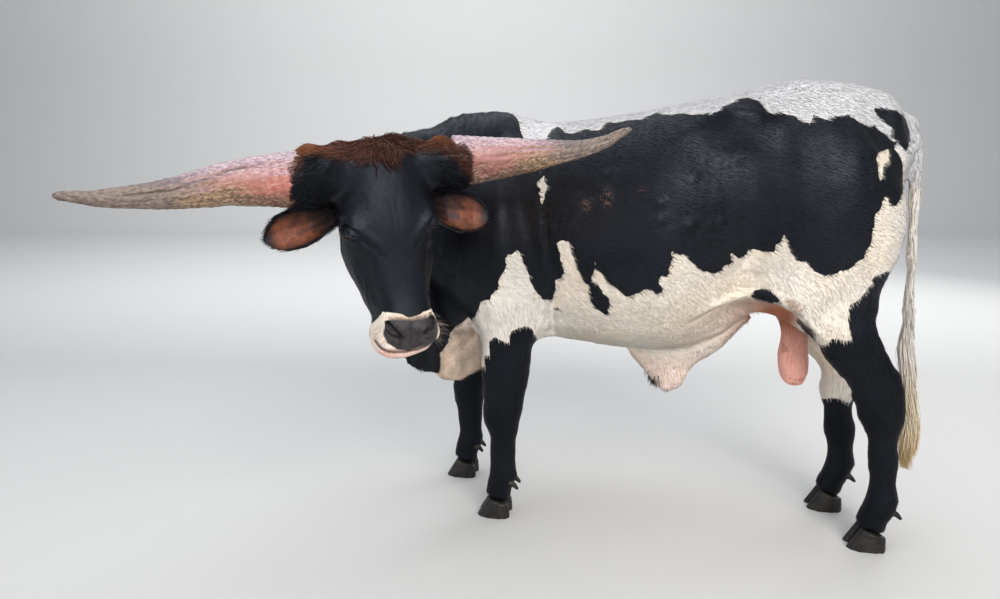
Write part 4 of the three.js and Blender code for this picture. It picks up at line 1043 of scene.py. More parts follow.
def build_skin(settings):
    mesh = skin_mesh(settings.cell)
    q = head_places(mesh)
    head = near_head(q, 10)
    sculpted = muzzle(lids(face_folds(q)))
    sculpted = spread(sculpted, edges_of(mesh), 2, 0.35, -0.9)
    points = points_of(mesh)
    points[head] = moved(sculpted[head] / 1000, HEAD)
    set_points(mesh, points)
    body = moved(points, BODY.inverted())
    ways = turned(normals_of(mesh), BODY.inverted())
    folded = hang(flank(fill_legs(body_folds(body, ways))))
    folded = ease_hanging(folded, edges_of(mesh), 1 - head)
    set_points(mesh, moved(np.where(head[:, None], body, folded), BODY))
    obj = link("skin", mesh)
    for side in SIDES.values():
        ear = link("ear_shape", ear_mesh(side))
        join = obj.modifiers.new("Ear", "BOOLEAN")
        join.operation = "UNION"
        join.solver = "MANIFOLD"
        join.object = ear
        mesh = baked(obj, "skin")
        drop(ear)
        obj = link("skin", mesh)
    shape = bmesh.new()
    shape.from_mesh(mesh)
    bmesh.ops.triangulate(shape, faces=[f for f in shape.faces if len(f.verts) > 4])
    shape.to_mesh(mesh)
    shape.free()
    q = head_places(mesh)
    root = np.minimum(
        np.linalg.norm(q - (-122, 92, -174), axis=1), np.linalg.norm(q - (-122, -92, -174), axis=1)
    )
    share = 0.5 * step(52, 30, root)
    set_points(mesh, spread(points_of(mesh), edges_of(mesh), 8, share, -0.8))
    return obj


# What the skin carries: its markings, how bare it is, and how its hair lies
MUZZLE_EDGE = track(
    ((-72, -452), (-62, -438), (-43, -440), (-22, -448), (-1, -461), (17, -462), (43, -456), (64, -452))
)
NOSE_PAD = (
    (-61, -461), (-47, -462), (-26, -466), (0, -473), (33, -475), (63, -470), (72, -485),
    (70, -511), (55, -543), (15, -545), (-11, -548), (-45, -534), (-65, -515), (-71, -492),
)  # fmt: skip
RUST_EDGE = track(
    ((-222, -92), (-200, -60), (-176, -34), (-147, -30), (-104, -50), (-46, -60), (18, -68), (72, -46),
     (139, -56), (176, -82), (200, -120), (222, -140))
)  # fmt: skip
WHORL = np.array((6.0, 14.0, -216.0))


def head_marks(q, ways, ear):
    """Markings of the head: fields in metres, above 0 inside, and shares from 0 to 1."""
    x, y, z = q.T
    share, along, across = ear
    marks = {}
    marks["white"] = (MUZZLE_EDGE(y) - z - 0.35 * np.maximum(-60 - x, 0)) / 1000
    pad = outline_depth(y, z, NOSE_PAD) / 1000 + 0.002
    marks["pad"] = np.where(x > -66, pad, -0.05)
    rust = np.minimum(z - RUST_EDGE(y), (x + 128) * 0.8)
    marks["rust"] = np.where(np.abs(y) < 240, rust, -60) / 1000
    marks["tan"] = step(80, 170, np.abs(y)) * step(-70, -15, z) * step(-150, -60, x)
    side_pink = step(-40, -62, y) * step(-470, -490, z)
    marks["pink"] = 0.20 * side_pink + 0.44 * step(-526, -540, z)
    # The mouth's mark is painted shade: a dark line along the crease between the lips, over the groove that
    # muzzle() cuts.
    distance, run = mouth_line(q)
    marks["mouth"] = bell(distance, 3.0) * step(0.0, 0.10, run)
    rim = np.maximum(step(0.66, 0.97, np.abs(across)), step(0.82, 0.95, along))
    inside = share * step(-0.05, 0.3, ways[:, 0]) * (1 - rim)
    marks["ear"] = inside * step(0.08, 0.3, along)
    start = np.where(y > 0, 0.38, 0.28)
    streak = waves(np.column_stack([0.9 * along, 0.45 * across, 0 * x]), 0.12, 77, 2)
    glow = step(0, 1, (along - start - 0.12 * across + 0.09 * streak) / 0.42)
    glow = glow * (1 - 0.55 * np.clip(across, -1, 1) ** 2)
    marks["glow"] = glow * (0.84 + 0.16 * streak) * np.where(y > 0, 0.85, 1)
    lid = np.zeros(len(q))
    for side in SIDES.values():
        centre, out, long, short = eye_frame(side)
        r = q - centre
        u, v, w = r @ long, r @ short, r @ out
        near = np.hypot(u / 1.35, v + 2 - 0.006 * u * u)
        lid = np.maximum(lid, step(13, 6, near) * (w > 0))
    marks["lid"] = lid
    stripe = step(-0.020, -0.008, marks["pad"]) * step(62, 42, np.abs(y + 2)) * step(-492, -480, z)
    marks["buff"] = 0.9 * stripe
    for name in ("groin", "scrape"):
        marks[name] = np.zeros(len(q))
    return marks


def body_marks(b, shares):
    """Markings of the body, likewise."""
    x, y, z = b.T
    marks = {}
    white = white_field(b)
    marks["white"] = np.where(shares["tail"] > 0.5, np.maximum(white, 0.03 * (z < 1.2)), white)
    marks["pad"] = np.full(len(b), -0.05)
    marks["rust"] = np.full(len(b), -0.06)
    below = step(-0.004, 0.008, FLANK_EDGE(x) - z) * step(0.22, 0.27, x)
    groin = 0.42 * bell(np.hypot(x - 0.36, (z - 0.70) * 1.2), 0.14) * step(0.3, 0.12, np.abs(y)) * below
    raw = bell(np.hypot((x - 0.30) / 1.25, z - 0.715), 0.062) * step(0.2, 0.12, np.abs(y)) * below
    marks["groin"] = np.clip(1.3 * np.maximum(raw, 0.8 * shares["scrotum"] * step(0.60, 0.70, z)), 0, 1)
    dewlap = 0.16 * step(-0.004, 0.004, outline_field(b, DEWLAP_BARE))
    marks["buff"] = step(-0.004, 0.004, outline_field(b, DEWLAP_BARE)) * step(0.14, 0.1, np.abs(y))
    sheath = shares["sheath"] * (0.08 + 0.2 * step(0.60, 0.50, z))
    marks["pink"] = np.clip(np.maximum.reduce([shares["scrotum"] * 1.2, groin, dewlap, sheath]), 0, 1)
    tan = step(-0.004, 0.003, outline_field(b, FLANK_TAN)) * 0.8
    marks["scrape"] = np.zeros(len(b))
    for s, height, radius in SCRAPES:
        spot = np.hypot(x - s / 1000, (z - height / 1000) * 0.8)
        marks["scrape"] = np.maximum(marks["scrape"], bell(spot, 1.5 * radius / 1000) * (y > 0))
    marks["tan"] = tan * step(-0.05, 0.05, y)
    for name in ("ear", "glow", "lid", "mouth"):
        marks[name] = np.zeros(len(b))
    return marks


def hair_ways(q, b, ways, head, shares, ear):
    """Way of the hair at each place, in the scene's frame, along the skin."""
    x, y, z = b.T
    leg = sum(shares["leg_" + name] for name in LEGS) * step(0.95, 0.6, z)
    down = np.clip(leg + shares["tail"] + shares["scrotum"] + shares["sheath"], 0, 1)[:, None]
    trunk = np.stack([-0.9 + 0 * x, 0.1 * np.sign(y), -0.35 - 0.6 * step(1.0, 0.75, z)], axis=1)
    body = turned(unit(trunk) * (1 - down) + np.array((-0.15, 0, -1)) * down, BODY)
    rel = q - WHORL
    rel[:, 0] = 0
    away = unit(rel * (1, 1.25, 1) + (0, 0, 4))
    low = step(-230, -300, q[:, 2])[:, None]
    cheek = step(55, 95, np.abs(q[:, 1]))[:, None]
    lower = unit(np.stack([-0.9 * cheek[:, 0], 0.3 * np.sign(q[:, 1]), -1 + 0 * x], axis=1))
    face_way = away * (1 - low) + lower * low
    along_ear = np.stack([0 * x, np.sign(q[:, 1]), -0.15 + 0 * x], axis=1)
    face_way = np.where(ear[0][:, None] > 0.5, along_ear, face_way)
    lie = np.where(head[:, None] > 0.5, turned(face_way, HEAD), body)
    return unit(lie - ways * (lie * ways).sum(axis=1, keepdims=True))


def unwrap(obj, name):
    """Unwraps the skin by its own shape, for the places of its tufts' roots."""
    mesh = obj.data
    mesh.uv_layers.new(name=name)
    bpy.context.view_layer.objects.active = obj
    obj.select_set(True)
    bpy.ops.object.mode_set(mode="EDIT")
    bpy.ops.mesh.select_all(action="SELECT")
    bpy.ops.uv.smart_project(angle_limit=math.radians(70), island_margin=0.002)
    bpy.ops.object.mode_set(mode="OBJECT")
    obj.select_set(False)


def mark_skin(obj):
    mesh = obj.data
    edges = edges_of(mesh)
    normals = normals_of(mesh)
    q = head_places(mesh)
    b = moved(points_of(mesh), BODY.inverted())
    shares = part_shares(mesh)
    head = shares["head"]
    ear = ear_places(q)
    on_head = head_marks(q, turned(normals, HEAD.inverted()), ear)
    on_body = body_marks(b, shares)
    for name, values in on_body.items():
        store(mesh, "mark_" + name, np.where(head > 0.5, on_head[name], values))
    x, _, z = b.T
    roan = np.where(head > 0.5, 0, np.maximum(step(-0.03, 0.01, back_field(b)), 0.5 * step(0.06, 0.0, x)))
    store(mesh, "mark_roan", spread(roan, edges, 3)[:, 0])
    fleck = np.where(head > 0.5, 0, step(-0.01, 0.01, outline_field(b, SHOULDER_WHITE)))
    store(mesh, "mark_fleck", fleck)
    brown = bell(np.hypot((x - 1.04) / 0.2, (z - 1.03) / 0.15), 1) * (head < 0.5)
    store(mesh, "mark_brown", 0.6 * brown * step(0.9, 1.0, z))
    leg = sum(shares["leg_" + name] for name in LEGS) * step(0.85, 0.6, z)
    store(mesh, "on_leg", np.clip(leg + shares["tail"] + shares["scrotum"], 0, 1))
    store(mesh, "on_head", head)
    bare = np.maximum(shares["scrotum"], on_body["pink"] * 0.5 * (head < 0.5))
    pad = np.where(head > 0.5, step(-0.002, 0.001, on_head["pad"]), 0)
    lips = np.where(head > 0.5, step(-512, -530, q[:, 2]) * 0.8, 0)
    bare = np.maximum.reduce([bare, pad, lips, np.where(head > 0.5, on_head["lid"], on_body["groin"])])
    store(mesh, "bare", np.clip(bare, 0, 1))
    lie = hair_ways(q, b, normals, head, shares, ear)
    lie = unit(spread(lie, edges, 6))
    store(mesh, "lie", unit(lie - normals * (lie * normals).sum(axis=1, keepdims=True)))
    return q, b, head, ear[0], bare


# Finishes
SHEEN = (0.72, 0.82, 1.0)  # the cool tint of light off the black hair


def darker(tone, share):
    return tuple(channel * share for channel in tone)


def marked_colour(paint, where):
    """The markings' colours at a place, with painted shade along the mouth's crease, the same on the skin and
    on its tufts.
    """
    coat = bpy.context.scene.bull_coat
    skin = bpy.context.scene.bull_skin
    jag = paint.math("ADD", paint.noise(38, where, 5, 0.68), -0.5)

    def inside(name, swing, soft):
        level = paint.math("MULTIPLY_ADD", jag, swing, paint.read("mark_" + name))
        return paint.ramp(level, -soft, soft)

    mottle = paint.ramp(paint.noise(6, where, 3), 0.3, 0.75)
    grain = paint.noise(330, where, 2, 0.7)
    fleck = paint.ramp(paint.noise(260, where, 2, 0.6), 0.66, 0.70)
    black = paint.mix(mottle, tuple(coat.black), darker(coat.black, 1.7))
    brown = paint.math("MULTIPLY", paint.read("mark_brown"), paint.ramp(grain, 0.35, 0.65, 0.3, 1.0))
    black = paint.mix(brown, black, (0.020, 0.0125, 0.009))
    scratch = paint.noise(1, paint.scaled((260, 260, 70), where), 3, 0.6)
    scraped = paint.math("MULTIPLY", paint.read("mark_scrape"), paint.ramp(scratch, 0.52, 0.66))
    black = paint.mix(scraped, black, (0.30, 0.16, 0.11))
    strand = paint.ramp(grain, 0.36, 0.66)
    rust = paint.mix(strand, darker(coat.rust, 0.55), darker(coat.rust, 1.5))
    tan = paint.mix(strand, darker(coat.tan, 0.5), tuple(coat.tan))
    rust = paint.mix(paint.math("MULTIPLY", paint.read("mark_tan"), 0.8), rust, tan)
    black = paint.mix(inside("rust", 0.045, 0.014), black, rust)
    cream = paint.mix(mottle, tuple(coat.white), (0.84, 0.79, 0.70))
    stain = paint.ramp(paint.noise(19, where, 4, 0.65), 0.52, 0.74, 0, 0.4)
    cream = paint.mix(stain, cream, (0.56, 0.46, 0.36))
    cream = paint.mix(paint.read("mark_fleck"), cream, (0.77, 0.725, 0.66))
    grey = paint.mix(paint.ramp(grain, 0.32, 0.60), (0.26, 0.26, 0.275), tuple(coat.roan))
    white = paint.mix(paint.read("mark_roan"), cream, grey)
    white = paint.mix(paint.math("MULTIPLY", fleck, paint.read("mark_fleck")), white, (0.07, 0.06, 0.055))
    pinkness = paint.math("MULTIPLY", paint.read("mark_pink"), paint.ramp(mottle, 0.0, 1.0, 0.75, 1.05))
    white = paint.mix(pinkness, white, tuple(skin.pink))
    worn = paint.ramp(paint.noise(24, where, 4, 0.6), 0.35, 0.68)
    buff = paint.mix(worn, tuple(skin.buff), darker(skin.buff, 0.62))
    white = paint.mix(paint.math("MULTIPLY", paint.read("mark_buff"), 0.8), white, buff)
    colour = paint.mix(inside("white", 0.024, 0.0013), black, white)
    pink_skin = paint.ramp(paint.read("mark_pink"), 0.6, 0.95)
    blotch = paint.ramp(paint.noise(17, where, 3, 0.55), 0.60, 0.64, 0, 0.7)
    scrotum = paint.mix(mottle, tuple(skin.pink), (0.86, 0.43, 0.35))
    scrotum = paint.mix(blotch, scrotum, (0.55, 0.23, 0.16))
    colour = paint.mix(pink_skin, colour, scrotum)
    raw = paint.mix(mottle, (0.42, 0.165, 0.085), (0.30, 0.105, 0.055))
    colour = paint.mix(paint.read("mark_groin"), colour, raw)
    off_head = paint.math("SUBTRACT", 1.0, paint.read("on_head"))
    body_tan = paint.math("MULTIPLY", paint.read("mark_tan"), off_head)
    colour = paint.mix(body_tan, colour, (0.30, 0.155, 0.085))
    dapple = paint.ramp(paint.noise(70, where, 3, 0.6), 0.4, 0.62)
    pad = paint.mix(dapple, tuple(skin.pad), darker(skin.pad, 1.9))
    top_edge = paint.ramp(paint.math("MULTIPLY_ADD", jag, 0.03, paint.read("mark_pad")), -0.013, -0.002)
    top_edge = paint.math("MULTIPLY", top_edge, paint.read("mark_buff"))
    colour = paint.mix(paint.math("MULTIPLY", top_edge, paint.read("on_head")), colour, (0.16, 0.10, 0.075))
    colour = paint.mix(inside("pad", 0.006, 0.0022), colour, pad)
    # Painted shade along the mouth's crease.
    colour = paint.mix(paint.read("mark_mouth"), colour, (0.035, 0.015, 0.013))
    colour = paint.mix(paint.read("mark_lid"), colour, tuple(skin.lid))
    brushed = paint.ramp(paint.noise(90, where, 3, 0.6), 0.3, 0.7, 0.62, 1.0)
    glow = paint.math("MULTIPLY", paint.read("mark_glow"), brushed)
    glow = paint.math("MULTIPLY", glow, paint.ramp(grain, 0.25, 0.6, 0.7, 1))
    ear = paint.mix(glow, (0.040, 0.023, 0.018), (0.40, 0.115, 0.045))
    return paint.mix(paint.read("mark_ear"), colour, ear)


def skin_finish():
    """The skin, with the short hair as fine bump along its lie."""
    paint = Paint("Coat on the skin")
    where = paint.place()
    colour = marked_colour(paint, where)
    bare = paint.read("bare")
    body = paint.noise(1, paint.scaled((28, 260, 190), where), 3, 0.6)
    legs = paint.noise(1, paint.scaled((260, 260, 30), where), 3, 0.6)
    along_face = paint.noise(1, paint.scaled((300, 300, 60), where), 3, 0.6)
    hair = paint.node("Mix", data_type="FLOAT")
    paint.put(hair.inputs["Factor"], paint.read("on_leg"))
    paint.put(hair.inputs["A"], body)
    paint.put(hair.inputs["B"], legs)
    both = paint.node("Mix", data_type="FLOAT")
    paint.put(both.inputs["Factor"], paint.read("on_head"))
    paint.put(both.inputs["A"], hair.outputs["Result"])
    paint.put(both.inputs["B"], along_face)
    height = both.outputs["Result"]
    covered = paint.math("SUBTRACT", 1.0, bare)
    normal = paint.bump(paint.math("MULTIPLY", height, covered), 0.4, 0.0009)
    pebble = paint.node("TexVoronoi", feature="DISTANCE_TO_EDGE")
    pebble.inputs["Scale"].default_value = 330
    paint.wire(where, pebble.inputs["Vector"])
    pebbles = paint.math("MULTIPLY", paint.ramp(pebble.outputs["Distance"], 0, 0.25), bare)
    normal = paint.bump(pebbles, 0.35, 0.0008, normal)
    creases = paint.noise(95, where, 5, 0.65, 0.6)
    normal = paint.bump(paint.math("MULTIPLY", creases, bare), 0.25, 0.002, normal)
    streak = paint.ramp(height, 0.25, 0.75, 0.82, 1.12)
    colour = paint.mix(1.0, colour, streak, "MULTIPLY")
    wet = paint.ramp(paint.read("mark_pad"), -0.001, 0.003)
    rough = paint.mix(paint.ramp(paint.read("mark_white"), -0.002, 0.002), (0.42,) * 3, (0.62,) * 3)
    rough = paint.math("MULTIPLY_ADD", wet, -0.3, rough)
    gloss = paint.ramp(paint.read("on_leg"), 0.0, 1.0, 0.25, 0.12)
    return paint.finish(
        Base_Color=colour, Roughness=rough, Normal=normal, Specular_IOR_Level=gloss, Specular_Tint=SHEEN
    )


OWN_SHADE = 0.28  # how much a tuft's own form counts in its shading, beside the skin's


def tuft_finish():
    """A tuft of the coat, one colour from root to tip, shaded mostly as the skin under it."""
    paint = Paint("Tufts")
    where = paint.read("root", "Vector")
    colour = marked_colour(paint, where)
    shade = paint.ramp(paint.read("chance"), 0.0, 1.0, 0.86, 1.12)
    colour = paint.mix(1.0, colour, shade, "MULTIPLY")
    own = paint.node("VectorMath", operation="SCALE")
    paint.wire(paint.node("NewGeometry").outputs["Normal"], own.inputs[0])
    own.inputs["Scale"].default_value = OWN_SHADE
    both = paint.node("VectorMath", operation="ADD")
    paint.wire(own.outputs[0], both.inputs[0])
    paint.wire(paint.read("skin_way", "Vector"), both.inputs[1])
    facing = paint.node("VectorMath", operation="NORMALIZE")
    paint.wire(both.outputs[0], facing.inputs[0])
    normal = facing.outputs[0]
    return paint.finish(
        Base_Color=colour, Roughness=0.48, Specular_IOR_Level=0.18, Specular_Tint=SHEEN, Normal=normal
    )


# Trees that make what repeats
class Tree:
    """A small help to build a geometry tree with named inputs."""

    def __init__(self, name, **kinds):
        self.group = bpy.data.node_groups.new(name, "GeometryNodeTree")
        face = self.group.interface
        face.new_socket("Geometry", in_out="INPUT", socket_type="NodeSocketGeometry")
        self.ids = {}
        for label, kind in kinds.items():
            socket = face.new_socket(label, in_out="INPUT", socket_type="NodeSocket" + kind)
            self.ids[label] = socket.identifier
        face.new_socket("Geometry", in_out="OUTPUT", socket_type="NodeSocketGeometry")
        self.entry = self.group.nodes.new("NodeGroupInput")
        self.exit = self.group.nodes.new("NodeGroupOutput")

    def given(self, label):
        return self.entry.outputs[label]

    def node(self, kind, sockets=(), **values):
        node = self.group.nodes.new(kind)
        for key, value in values.items():
            setattr(node, key, value)
        for name, value in dict(sockets).items():
            self.put(node.inputs[name], value)
        return node

    def put(self, socket, value):
        if isinstance(value, bpy.types.NodeSocket):
            self.group.links.new(value, socket)
        else:
            socket.default_value = value

    def field(self, name, kind="FLOAT"):
        return self.node("GeometryNodeInputNamedAttribute", {"Name": name}, data_type=kind).outputs[0]

    def chance(self, low, high, seed):
        node = self.node("FunctionNodeRandomValue", data_type="FLOAT")
        for socket, value in zip((node.inputs[2], node.inputs[3]), (low, high)):
            self.put(socket, value)
        self.put(node.inputs["Seed"], seed)
        return node.outputs[1]

    def sway(self, reach, seed):
        node = self.node("FunctionNodeRandomValue", data_type="FLOAT_VECTOR")
        node.inputs[0].default_value = reach[0]
        node.inputs[1].default_value = reach[1]
        self.put(node.inputs["Seed"], seed)
        return node.outputs[0]

    def sum(self, operation, a, b):
        node = self.node("ShaderNodeMath", operation=operation)
        self.put(node.inputs[0], a)
        self.put(node.inputs[1], b)
        return node.outputs[0]

    def keep(self, geometry, name, value, kind="FLOAT", domain="POINT"):
        node = self.node("GeometryNodeStoreNamedAttribute", data_type=kind, domain=domain)
        self.put(node.inputs["Geometry"], geometry)
        self.put(node.inputs["Name"], name)
        self.put(node.inputs["Value"], value)
        return node.outputs[0]

    def patches(self, geometry, patch):
        """Each tuft's own small patch of the OFBake map, at its root's place on the skin."""
        middle_out = self.node("ShaderNodeVectorMath", operation="SUBTRACT")
        self.put(middle_out.inputs[0], patch)
        middle_out.inputs[1].default_value = (0.5, 0.5, 0)
        small = self.node("ShaderNodeVectorMath", operation="SCALE")
        self.put(small.inputs[0], middle_out.outputs[0])
        small.inputs["Scale"].default_value = PATCH
        place = self.node("ShaderNodeVectorMath", operation="ADD")
        self.put(place.inputs[0], self.field("root_place", "FLOAT_VECTOR"))
        self.put(place.inputs[1], small.outputs[0])
        return self.keep(geometry, "OFBake", place.outputs[0], "FLOAT2", "CORNER")

    def end(self, geometry):
        whole = self.node("GeometryNodeRealizeInstances", {"Geometry": geometry})
        coated = self.node("GeometryNodeSetMaterial", {"Geometry": whole.outputs[0]})
        self.put(coated.inputs["Material"], self.given("Finish"))
        self.put(self.exit.inputs[0], coated.outputs[0])
        return self

    def made(self, name, obj, **values):
        """The mesh that the tree makes from an object's mesh, as a new object."""
        source = bpy.data.objects.new(name, obj.data.copy())
        bpy.context.scene.collection.objects.link(source)
        grown = source.modifiers.new("Grown", "NODES")
        grown.node_group = self.group
        for label, value in values.items():
            grown[self.ids[label]] = value
        mesh = baked(source, name)
        for attribute in list(mesh.attributes):
            if attribute.name in ("lie", "long", "zone", "along", "patch", "girth"):
                mesh.attributes.remove(attribute)
        mesh.polygons.foreach_set("use_smooth", np.ones(len(mesh.polygons), bool))
        made = bpy.data.objects.new(name, mesh)
        bpy.context.scene.collection.objects.link(made)
        return made


PATCH = 0.003  # how far one tuft reaches across the OFBake map
LIFT = ((-0.2, -0.11, -0.2), (0.2, 0.0, 0.2))  # least and most turn of a tuft, in radians


def tuft_shape():
    """One tuft along X: closed, thin, bent, pointed at both ends."""
    points = ((-0.12, 0, -0.4), (0.34, 0.5, 0.1), (0.34, 0, 0.75), (0.34, -0.5, 0.1), (1, 0, 0.2))
    faces = ((0, 2, 1), (0, 3, 2), (0, 1, 3), (4, 1, 2), (4, 2, 3), (4, 3, 1))
    mesh = face_out(mesh_from("tuft", points, faces))
    patch = np.array([(x, 0.5 + y, 0) for x, y, _ in points])
    store(mesh, "patch", np.clip(patch, 0, 1))
    return link("tuft", mesh)


def coat_tree():
    tree = Tree(
        "Short coat", Tuft="Object", Spacing="Float", Width="Float", Thickness="Float", Seed="Int",
        Finish="Material",
    )  # fmt: skip
    spacing = tree.given("Spacing")
    seed = tree.given("Seed")
    most = tree.sum("DIVIDE", 2.6, tree.sum("MULTIPLY", spacing, spacing))
    places = tree.node("GeometryNodeDistributePointsOnFaces", distribute_method="POISSON")
    tree.put(places.inputs["Mesh"], tree.given("Geometry"))
    tree.put(places.inputs["Distance Min"], spacing)
    tree.put(places.inputs["Density Max"], most)
    tree.put(places.inputs["Density Factor"], tree.field("zone"))
    tree.put(places.inputs["Seed"], seed)
    position = tree.node("GeometryNodeInputPosition").outputs[0]
    points = tree.keep(places.outputs["Points"], "root", position, "FLOAT_VECTOR")
    points = tree.keep(points, "chance", tree.chance(0.0, 1.0, seed))
    points = tree.keep(points, "skin_way", places.outputs["Normal"], "FLOAT_VECTOR")
    up = tree.node("FunctionNodeAlignRotationToVector", {"Vector": places.outputs["Normal"]}, axis="Z")
    along = tree.node(
        "FunctionNodeAlignRotationToVector",
        {"Rotation": up.outputs[0], "Vector": tree.field("lie", "FLOAT_VECTOR")},
        axis="X",
        pivot_axis="Z",
    )
    sway = tree.node("FunctionNodeEulerToRotation", {"Euler": tree.sway(LIFT, seed)})
    turn = tree.node("FunctionNodeRotateRotation", rotation_space="LOCAL")
    tree.put(turn.inputs["Rotation"], along.outputs[0])
    tree.put(turn.inputs["Rotate By"], sway.outputs[0])
    size = tree.node("ShaderNodeCombineXYZ")
    tree.put(size.inputs[0], tree.sum("MULTIPLY", tree.field("long"), tree.chance(0.7, 1.25, seed)))
    tree.put(size.inputs[1], tree.sum("MULTIPLY", tree.given("Width"), tree.chance(0.7, 1.3, seed)))
    tree.put(size.inputs[2], tree.given("Thickness"))
    tuft = tree.node("GeometryNodeObjectInfo", {"Object": tree.given("Tuft")})
    on = tree.node("GeometryNodeInstanceOnPoints")
    tree.put(on.inputs["Points"], points)
    tree.put(on.inputs["Instance"], tuft.outputs["Geometry"])
    tree.put(on.inputs["Rotation"], turn.outputs[0])
    tree.put(on.inputs["Scale"], size.outputs[0])
    whole = tree.node("GeometryNodeRealizeInstances", {"Geometry": on.outputs[0]})
    patched = tree.patches(whole.outputs[0], tree.field("patch", "FLOAT_VECTOR"))
    return tree.end(patched)


ZONES = {  # tufts, width and thickness of each piece of the coat
    "coat_head": (32500, 0.0011, 0.0005),
    "coat_neck": (32500, 0.0016, 0.0006),
    "coat_barrel_left": (32500, 0.0016, 0.0006),
    "coat_barrel_right": (32500, 0.0016, 0.0006),
    "coat_rump": (32500, 0.0016, 0.0006),
    "coat_legs": (32500, 0.0014, 0.0006),
}


def zone_shares(name, b, head):
    x, y, z = b.T
    rest = head < 0.5
    low = z < 0.6
    trunk = rest & ~low & (x > 0.30) & (x <= 0.98)
    return {
        "coat_head": ~rest,
        "coat_neck": rest & ~low & (x > 0.98),
        "coat_barrel_left": trunk & (y > 0),
        "coat_barrel_right": trunk & (y <= 0),
        "coat_rump": rest & ~low & (x <= 0.30),
        "coat_legs": rest & low,
    }[name].astype(float)


def tuft_lengths(q, b, head, ear):
    """Length of the tufts at each place, in metres."""
    z = b[:, 2]
    body = 0.017 - 0.006 * step(0.7, 0.35, z) + 0.004 * step(0.9, 0.7, z) * (np.abs(b[:, 1]) < 0.2)
    _, y, up = q.T
    low_face = step(-380, -450, up)
    boss = step(95, 150, np.abs(y)) * step(-190, -140, up)
    brow = step(-230, -120, up)
    on_head = 0.0075 + 0.006 * brow + 0.010 * boss - 0.003 * low_face + 0.005 * ear
    return np.where(head > 0.5, on_head, body)


def area_of(mesh, shares):
    areas = np.empty(len(mesh.polygons))
    mesh.polygons.foreach_get("area", areas)
    firsts = np.array([polygon.vertices[0] for polygon in mesh.polygons])
    return float((areas * shares[firsts]).sum())


def grow_coat(obj, facts, finish):
    """Short tufts over the whole skin, in pieces that each stay small enough."""
    q, b, head, ear, bare = facts
    mesh = obj.data
    store(mesh, "long", tuft_lengths(q, b, head, ear))
    layer = mesh.uv_layers["skin_map"]
    flat = np.empty(len(mesh.loops) * 2, np.float32)
    layer.data.foreach_get("uv", flat)
    corners = np.empty(len(mesh.loops), np.int32)
    mesh.loops.foreach_get("vertex_index", corners)
    root = mesh.attributes.new("root_place", "FLOAT_VECTOR", "CORNER")
    places = np.zeros((len(corners), 3), np.float32)
    places[:, :2] = flat.reshape(-1, 2)
    root.data.foreach_set("vector", places.ravel())
    tree = coat_tree()
    tuft = tuft_shape()
    pieces = []
    for seed, (name, (count, width, thickness)) in enumerate(ZONES.items()):
        zone = zone_shares(name, b, head) * np.clip(1.15 - 1.3 * bare, 0, 1)
        store(mesh, "zone", zone)
        spacing = math.sqrt(0.72 * area_of(mesh, zone) / count)
        piece = tree.made(
            name, obj, Tuft=tuft, Spacing=spacing, Width=width, Thickness=thickness, Seed=seed + 3,
            Finish=finish,
        )  # fmt: skip
        pieces.append(piece)
    drop(tuft)
    for name in ("zone", "long", "root_place"):
        mesh.attributes.remove(mesh.attributes[name])
    return pieces


# Horns
HORN_LINE = ((-58, 199, -80), (-30, 331, -87), (4, 451, -92), (38, 578, -84), (70, 704, -64))
HORN_RADIUS = track(
    (
        (0, 71), (0.24, 56.1), (0.45, 41.2), (0.6, 30.5), (0.72, 23.9), (0.85, 16.5), (0.95, 10.6),
        (0.985, 7.8), (1, 3.0),
    )
)  # fmt: skip
HORN_LEVEL = {
    1: track(((0, 0), (0.5, -2), (0.65, -9), (0.75, -12), (0.85, -11), (0.93, -3), (1, 0))),
    -1: track(
        ((0, 0), (0.09, 5), (0.21, 11), (0.34, 13), (0.46, 9), (0.58, 2), (0.71, -3), (0.83, -8), (1, -8))
    ),
}
HORN_ROWS, HORN_COUNT = 110, 72
CRACK_TURN = 0.35  # where the crack runs, round from the front of the horn toward its top


